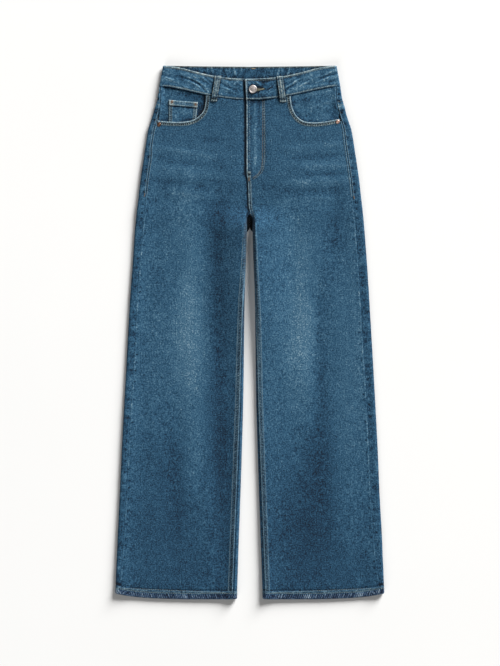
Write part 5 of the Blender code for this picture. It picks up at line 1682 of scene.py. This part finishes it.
for h, n in SIDES:
    ys = np.linspace(497, 262, 120)
    # the outseam's topstitching, down to its bar tack
    stop = 275.9 if h < 0 else 270.9
    ys = ys[ys > stop]
    a, b = front_ends(h, ys)
    y_low = np.where(ys > 430, 0, 1)
    rows = ys[ys < (418 if h < 0 else 424)]
    a2, _ = front_ends(h, rows)
    grey.row(front_skin(h, rows, a2 + 2.0, 0.16), seed=20 + h, width=0.8)
    whole = ys[ys < 452]
    grey.row(back_skin(h, whole, -(out_at(h, whole) - 2.1), 0.16), seed=24 + h, width=0.8)
    at = back_skin(h, np.array([stop]), -(out_at(h, np.array([stop])) - 2.6), 0.25)[0]
    rust.bars(at, (0.2 * h, -1, 0), 6.5, 1.9, 11, thread=0.6, high=0.4)
    # the felled inseam's two rows
    ys = np.linspace(190, -517, 300)
    a, b = front_ends(h, ys)
    grey.row(front_skin(h, ys, b - 1.5, 0.12), seed=30 + h, width=0.7, pitch=3.1)
    grey.row(front_skin(h, ys, b - 9.2, 0.12), seed=33 + h, width=0.7, pitch=3.1)
    # the rise seam, double, between the crotch and the fly
    ys = np.linspace(304, 232, 50)
    for off, sd in ((1.7, 1), (6.4, 2)):
        if h > 0:
            _, b = front_ends(h, ys)
            grey.row(front_skin(h, ys, b - off, 0.12), seed=36 + sd, width=0.75)
    # hem
    for top_face in (True, False):
        a, b = front_ends(h, np.array([-516.0])) if top_face else back_ends(h, np.array([-516.0]))
        s = np.linspace(a[0] + 1.0, b[0] - 1.0, 220)
        y = np.full_like(s, -516.0)
        for _ in range(3):
            p, _ = skin(h, y, s, top_face, relief=False)
            y = edge_at(HEM_LOW, np.abs(p[..., 0])) + HEM_STITCH - 2.8
        if top_face:
            grey.row(front_skin(h, y, s, 0.18), seed=41 + h, width=0.85, pitch=3.6, length=2.9)
        else:
            path = back_skin(h, y, s, 0.1)
            _, nz = skin(h, y, s, False, relief=False)
            up = np.stack([0 * s, 0 * s, np.where(nz > 0, 1.0, -1.0)], -1)
            keep = np.abs(nz) > 0.5
            path[..., 2] = np.maximum(path[..., 2], 0.15)
            for part in (nz > 0.5, nz < -0.5):
                if part.sum() > 4:
                    grey.row(path[part], up[part], seed=44 + h, width=0.85, pitch=3.6, length=2.9, high=0.25)
    # pocket mouths
    curve, away = mouths[h]
    for off, sd in ((2.5, 1), (7.0, 2)):
        c = curve + away * off
        keep = (c[:, 1] < edge_at(BAND_FRONT_LOW, c[:, 0]) - 1) & (c[:, 0] < 178)
        path = front_point(h, h * c[keep, 0], c[keep, 1], 0.62 if sd == 1 else 0.5)
        (grey if sd == 1 else grey).row(path, seed=50 + h + sd, width=0.75, pitch=3.2)
    # back pockets
    for inset, sd in ((2.0, 1), (8.0, 2)):
        k = 1 - inset / 68.0
        u = np.concatenate([np.full(60, -k), np.linspace(-k, k, 80), np.full(60, k)])
        w = np.concatenate([np.linspace(0.97, inset / 150.0, 60), np.full(80, inset / 150.0), np.linspace(inset / 150.0, 0.97, 60)])
        x, y = pocket_outline(u, w)
        lean = math.radians(3.0) * h
        path = np.stack([h * 98.0 + x * math.cos(lean) - y * math.sin(lean),
                         411.0 + x * math.sin(lean) + y * math.cos(lean), np.full_like(x, 0.10)], -1)
        grey.row(path, np.tile([0.0, 0.0, -1.0], (len(path), 1)), seed=60 + sd + h, width=0.75, high=0.28)
    u = np.linspace(-0.96, 0.96, 80)
    x, y = pocket_outline(u, np.full(80, 0.913))
    path = np.stack([h * 98.0 + x * math.cos(lean) - y * math.sin(lean),
                     411.0 + x * math.sin(lean) + y * math.cos(lean), np.full_like(x, 0.10)], -1)
    grey.row(path, np.tile([0.0, 0.0, -1.0], (len(path), 1)), seed=66 + h, width=0.75, high=0.28)
    # the yoke's double row, on the back and round the side
    a, b = back_ends(h, np.array([450.0]))
    s = np.linspace(a[0] + 1.5, b[0] - 1.0, 200)
    for off, sd in ((1.4, 1), (7.6, 2)):
        y = np.full_like(s, 450.0)
        for _ in range(3):
            p, nz = skin(h, y, s, False, relief=False)
            y = edge_at(YOKE_LOW, np.abs(p[..., 0])) + off
        path, _ = skin(h, y, s, False, np.where(nz > 0, -0.62, -0.12), relief=False)
        for part, up in ((nz > 0.5, 1.0), (nz < -0.5, -1.0)):
            if part.sum() > 3:
                grey.row(path[part], np.tile([0.0, 0.0, up], (part.sum(), 1)), seed=70 + sd + h, width=0.8, high=0.4)

# the fly: beside its fold, and the double J
ys = np.linspace(466, 330, 90)
_, b = front_ends(1, ys)
grey.row(front_skin(1, ys, b - 6.9, 0.18), seed=81, width=0.95, pitch=4.6, length=2.3)
level = np.concatenate([np.linspace(467, 348, 70), np.linspace(346, 309, 40)])
jx = through([j.x for j in JSTITCH], [j.y for j in JSTITCH], level)
slope = np.gradient(jx, level)
for off, sd in ((-1.9, 1), (1.9, 2)):
    nx = 1 / np.sqrt(1 + slope ** 2)
    px, py = jx + off * nx, level - off * slope * nx
    path = front_skin(1, py, s_front(1, px, py), 0.16)
    (rust if sd == 1 else grey).row(path, seed=83 + sd, width=0.75, pitch=3.2)
at = front_skin(1, np.array([321.0]), s_front(1, np.array([-1.6]), np.array([321.0])), 0.3)[0]
grey.bars(at, (0.0, 1.0, 0), 3.6, 7.6, 7, thread=0.6, high=0.45)
at = front_skin(1, np.array([307.5]), s_front(1, np.array([-1.8]), np.array([307.5])), 0.3)[0]
rust.bars(at, (0.0, 1.0, 0), 7.5, 2.6, 12, thread=0.6, high=0.4)

# waistband: along both edges
for (x0, x1) in ((-171.0, -14.0), (-5.0, 171.0)):
    xs = np.linspace(x0, x1, 180)
    low = edge_at(BAND_FRONT_LOW, np.abs(xs)) + 2.8
    top = edge_at(BAND_FRONT_TOP, np.abs(xs)) - 4.0
    clear = np.ones(len(xs), bool)
    grey.row(band_point(xs, low, 0.14), seed=91, width=0.95, pitch=3.7, length=3.1, high=0.5)
    grey.row(band_point(xs, top, 0.10), seed=93, width=0.7, pitch=3.4, length=2.7, high=0.36)
ys = np.linspace(473, 503.5, 40)
lean = END_LEAN * (ys - 469.0) / 40.0
grey.row(band_point(-3.4 - 0.6 * lean, ys, 0.12), seed=95, width=0.75, pitch=3.5, length=2.8)

# the buttonhole: satin stitches that spread out from its end to the button
olive = Thread("stitches_olive", thread_material("thread_olive", (80, 82, 70), 0.25))
for k in np.linspace(0, 1, 22):
    x = 13.5 + (HOLE.end - 13.5) * k
    high, low = 2.1 - 0.7 * k, 4.0 * (1 - k) ** 0.9 + 0.9
    for y0, half, made in ((HOLE.y + high * 0.45, high * 0.5, olive if k < 0.8 else tan), (HOLE.y - low * 0.5, low * 0.5, tan)):
        made.centre.append(band_point(np.array([x]), np.array([y0]), 0.16))
        made.along.append(np.array([[0.25, half, 0.0]]))
        made.up.append(np.array([[0.0, 0.0, 1.0]]))
        made.size.append(np.array([[0.36, 0.5]]))
at = band_point(np.array([15.8]), np.array([HOLE.y - 0.6]), 0.3)[0]
rust.bars(at, (1, 0, 0), 2.6, 2.4, 5, thread=0.6, high=0.5)

# belt loops: a bar tack at each end
for l in FRONT_LOOPS:
    d = np.array(l.top) - np.array(l.low)
    length = np.hypot(*d)
    d = d / length
    for t, base_up in ((2.6 / length, 2.0), (1 - 2.6 / length, 2.0)):
        x, y = l.low[0] + (l.top[0] - l.low[0]) * t, l.low[1] + (l.top[1] - l.low[1]) * t
        z = float(carrier_z(np.array(x), np.array(y))) + 0.35 + base_up + 0.1 + 1.6 * float(ease(2.6 / 11.0))
        grey.bars((x, y, z - 0.3), (d[1], -d[0], 0), 9.4, 1.8, 14, thread=0.5, high=0.36)
for l in BACK_LOOPS:
    for y in (l.low[1] + 3.0, l.top[1] - 3.0):
        grey.bars((l.low[0] + (l.top[0] - l.low[0]) * (y - l.low[1]) / (l.top[1] - l.low[1]), y, 0.05), (1, 0, 0),
                  10.0, 2.6, 16, up=(0, 0, -1), thread=0.6, high=0.25)

# coin pocket: rows round it, along its hem, and beside its rivets
x = np.linspace(104.5, 161.5, 60)
for below, sd in ((9.4, 1), (2.0, 2)):
    y = edge_at(COIN_TOP, x) - below
    grey.row(coin_point(x, y, -1.25), seed=100 + sd, width=0.8, pitch=3.3)
for inset, sd in ((1.6, 1), (6.2, 2)):
    for side in (-1, 1):
        y = np.linspace(418, 450 if side < 0 else 453, 40)
        x = (104.0 + inset + 5.0 * (1 - (y - 415) / 48.0) ** 1.2) if side < 0 else np.full(40, 162.0 - inset)
        grey.row(coin_point(x, y, -0.78), seed=104 + sd + side, width=0.75, pitch=3.2)
# the inside of the back band: its edge is whipped, with one small tack at the centre
xs = np.linspace(-160, 160, 400)
top = edge_at(BAND_BACK_TOP, np.abs(xs))
path = np.stack([xs, top - 0.9, np.full_like(xs, 2.3 + 2.4)], -1)
olive.row(path, seed=120, width=1.3, pitch=2.5, length=2.2, high=0.5)
rust.bars((7.0, 528.9, 4.7), (1, 0, 0), 10.0, 2.2, 15, thread=0.66, high=0.4)
tan.bars((7.4, 528.4, 4.95), (1, 0, 0), 5.6, 1.7, 8, thread=0.66, high=0.4)

for t, slot in ((grey, "denim"), (rust, "denim"), (tan, "denim"), (olive, "denim")):
    placed(t.make())

# The zip stays as it was built, closed behind the fly, with a woven finish.
tape = Nodes("zip_weave")
place = tape.add("ShaderNodeTexCoord").outputs["Object"]
cross = tape.add("ShaderNodeSeparateXYZ")
tape.link(place, cross.inputs[0])
rib = tape.math("SINE", tape.math("MULTIPLY", cross.outputs[1], 900.0 * math.tau))
fleck = tape.noise(place, 900.0, 2.0)
tape.link(tape.ramp(tape.math("MULTIPLY_ADD", rib, 0.15, fleck), [(0.3, srgb(22, 36, 54)), (0.7, srgb(44, 62, 84))]),
          tape.shader.inputs["Base Color"])
tape.shader.inputs["Roughness"].default_value = 0.8
zip_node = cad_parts["zip"]
zip_node.data.materials.clear()
zip_node.data.materials.append(tape.material)

# ------------------------------------------------- floor, lights, camera
floor = bpy.data.meshes.new("floor")
floor.from_pydata([(-30, -30, -0.0004), (30, -30, -0.0004), (30, 30, -0.0004), (-30, 30, -0.0004)], [], [(0, 1, 2, 3)])
floor = bpy.data.objects.new("floor", floor)
bpy.context.scene.collection.objects.link(floor)
n = Nodes("floor_white")
place = n.add("ShaderNodeTexCoord").outputs["Object"]
n.link(n.ramp(n.noise(place, 3.0, 3.0), [(0.3, (0.86, 0.86, 0.855)), (0.7, (0.87, 0.87, 0.865))]), n.shader.inputs["Base Color"])
n.shader.inputs["Roughness"].default_value = 0.9
n.shader.inputs["Specular IOR Level"].default_value = 0.1
floor.data.materials.append(n.material)

world = bpy.data.worlds.new("studio")
bpy.context.scene.world = world
world.use_nodes = True
world.node_tree.nodes["Background"].inputs[0].default_value = (1.0, 0.985, 0.95, 1.0)
world.node_tree.nodes["Background"].inputs[1].default_value = 0.11


def area(name, at, size, power, colour=(1, 1, 1)):
    light = bpy.data.lights.new(name, "AREA")
    light.shape = "DISK"
    light.size = size
    light.energy = power
    light.color = colour
    made = bpy.data.objects.new(name, light)
    made.location = at
    made.rotation_euler = (Vector((0, 0, 0)) - Vector(at)).to_track_quat("-Z", "Y").to_euler()
    bpy.context.scene.collection.objects.link(made)
    return made


area("key", (20.5, 29.5, 14.5), 21.0, 38300.0, (1.0, 0.995, 0.985))
area("fill", (-14.0, -29.0, 15.0), 20.0, 4600.0)

camera = bpy.data.cameras.new("camera")
camera.sensor_fit = "VERTICAL"
camera.sensor_height = 36.0
camera.lens = 240.0
camera.clip_end = 20.0
camera = bpy.data.objects.new("camera", camera)
bpy.context.scene.collection.objects.link(camera)
camera.location = (0.0005, (332.95 - 333.0) * 2 * MM - MID_Y * MM, 240.0 / 36.0 * 1.332 + 0.006)
camera.rotation_euler = (0, 0, 0)
bpy.context.scene.camera = camera
bpy.context.scene.view_settings.view_transform = "Standard"
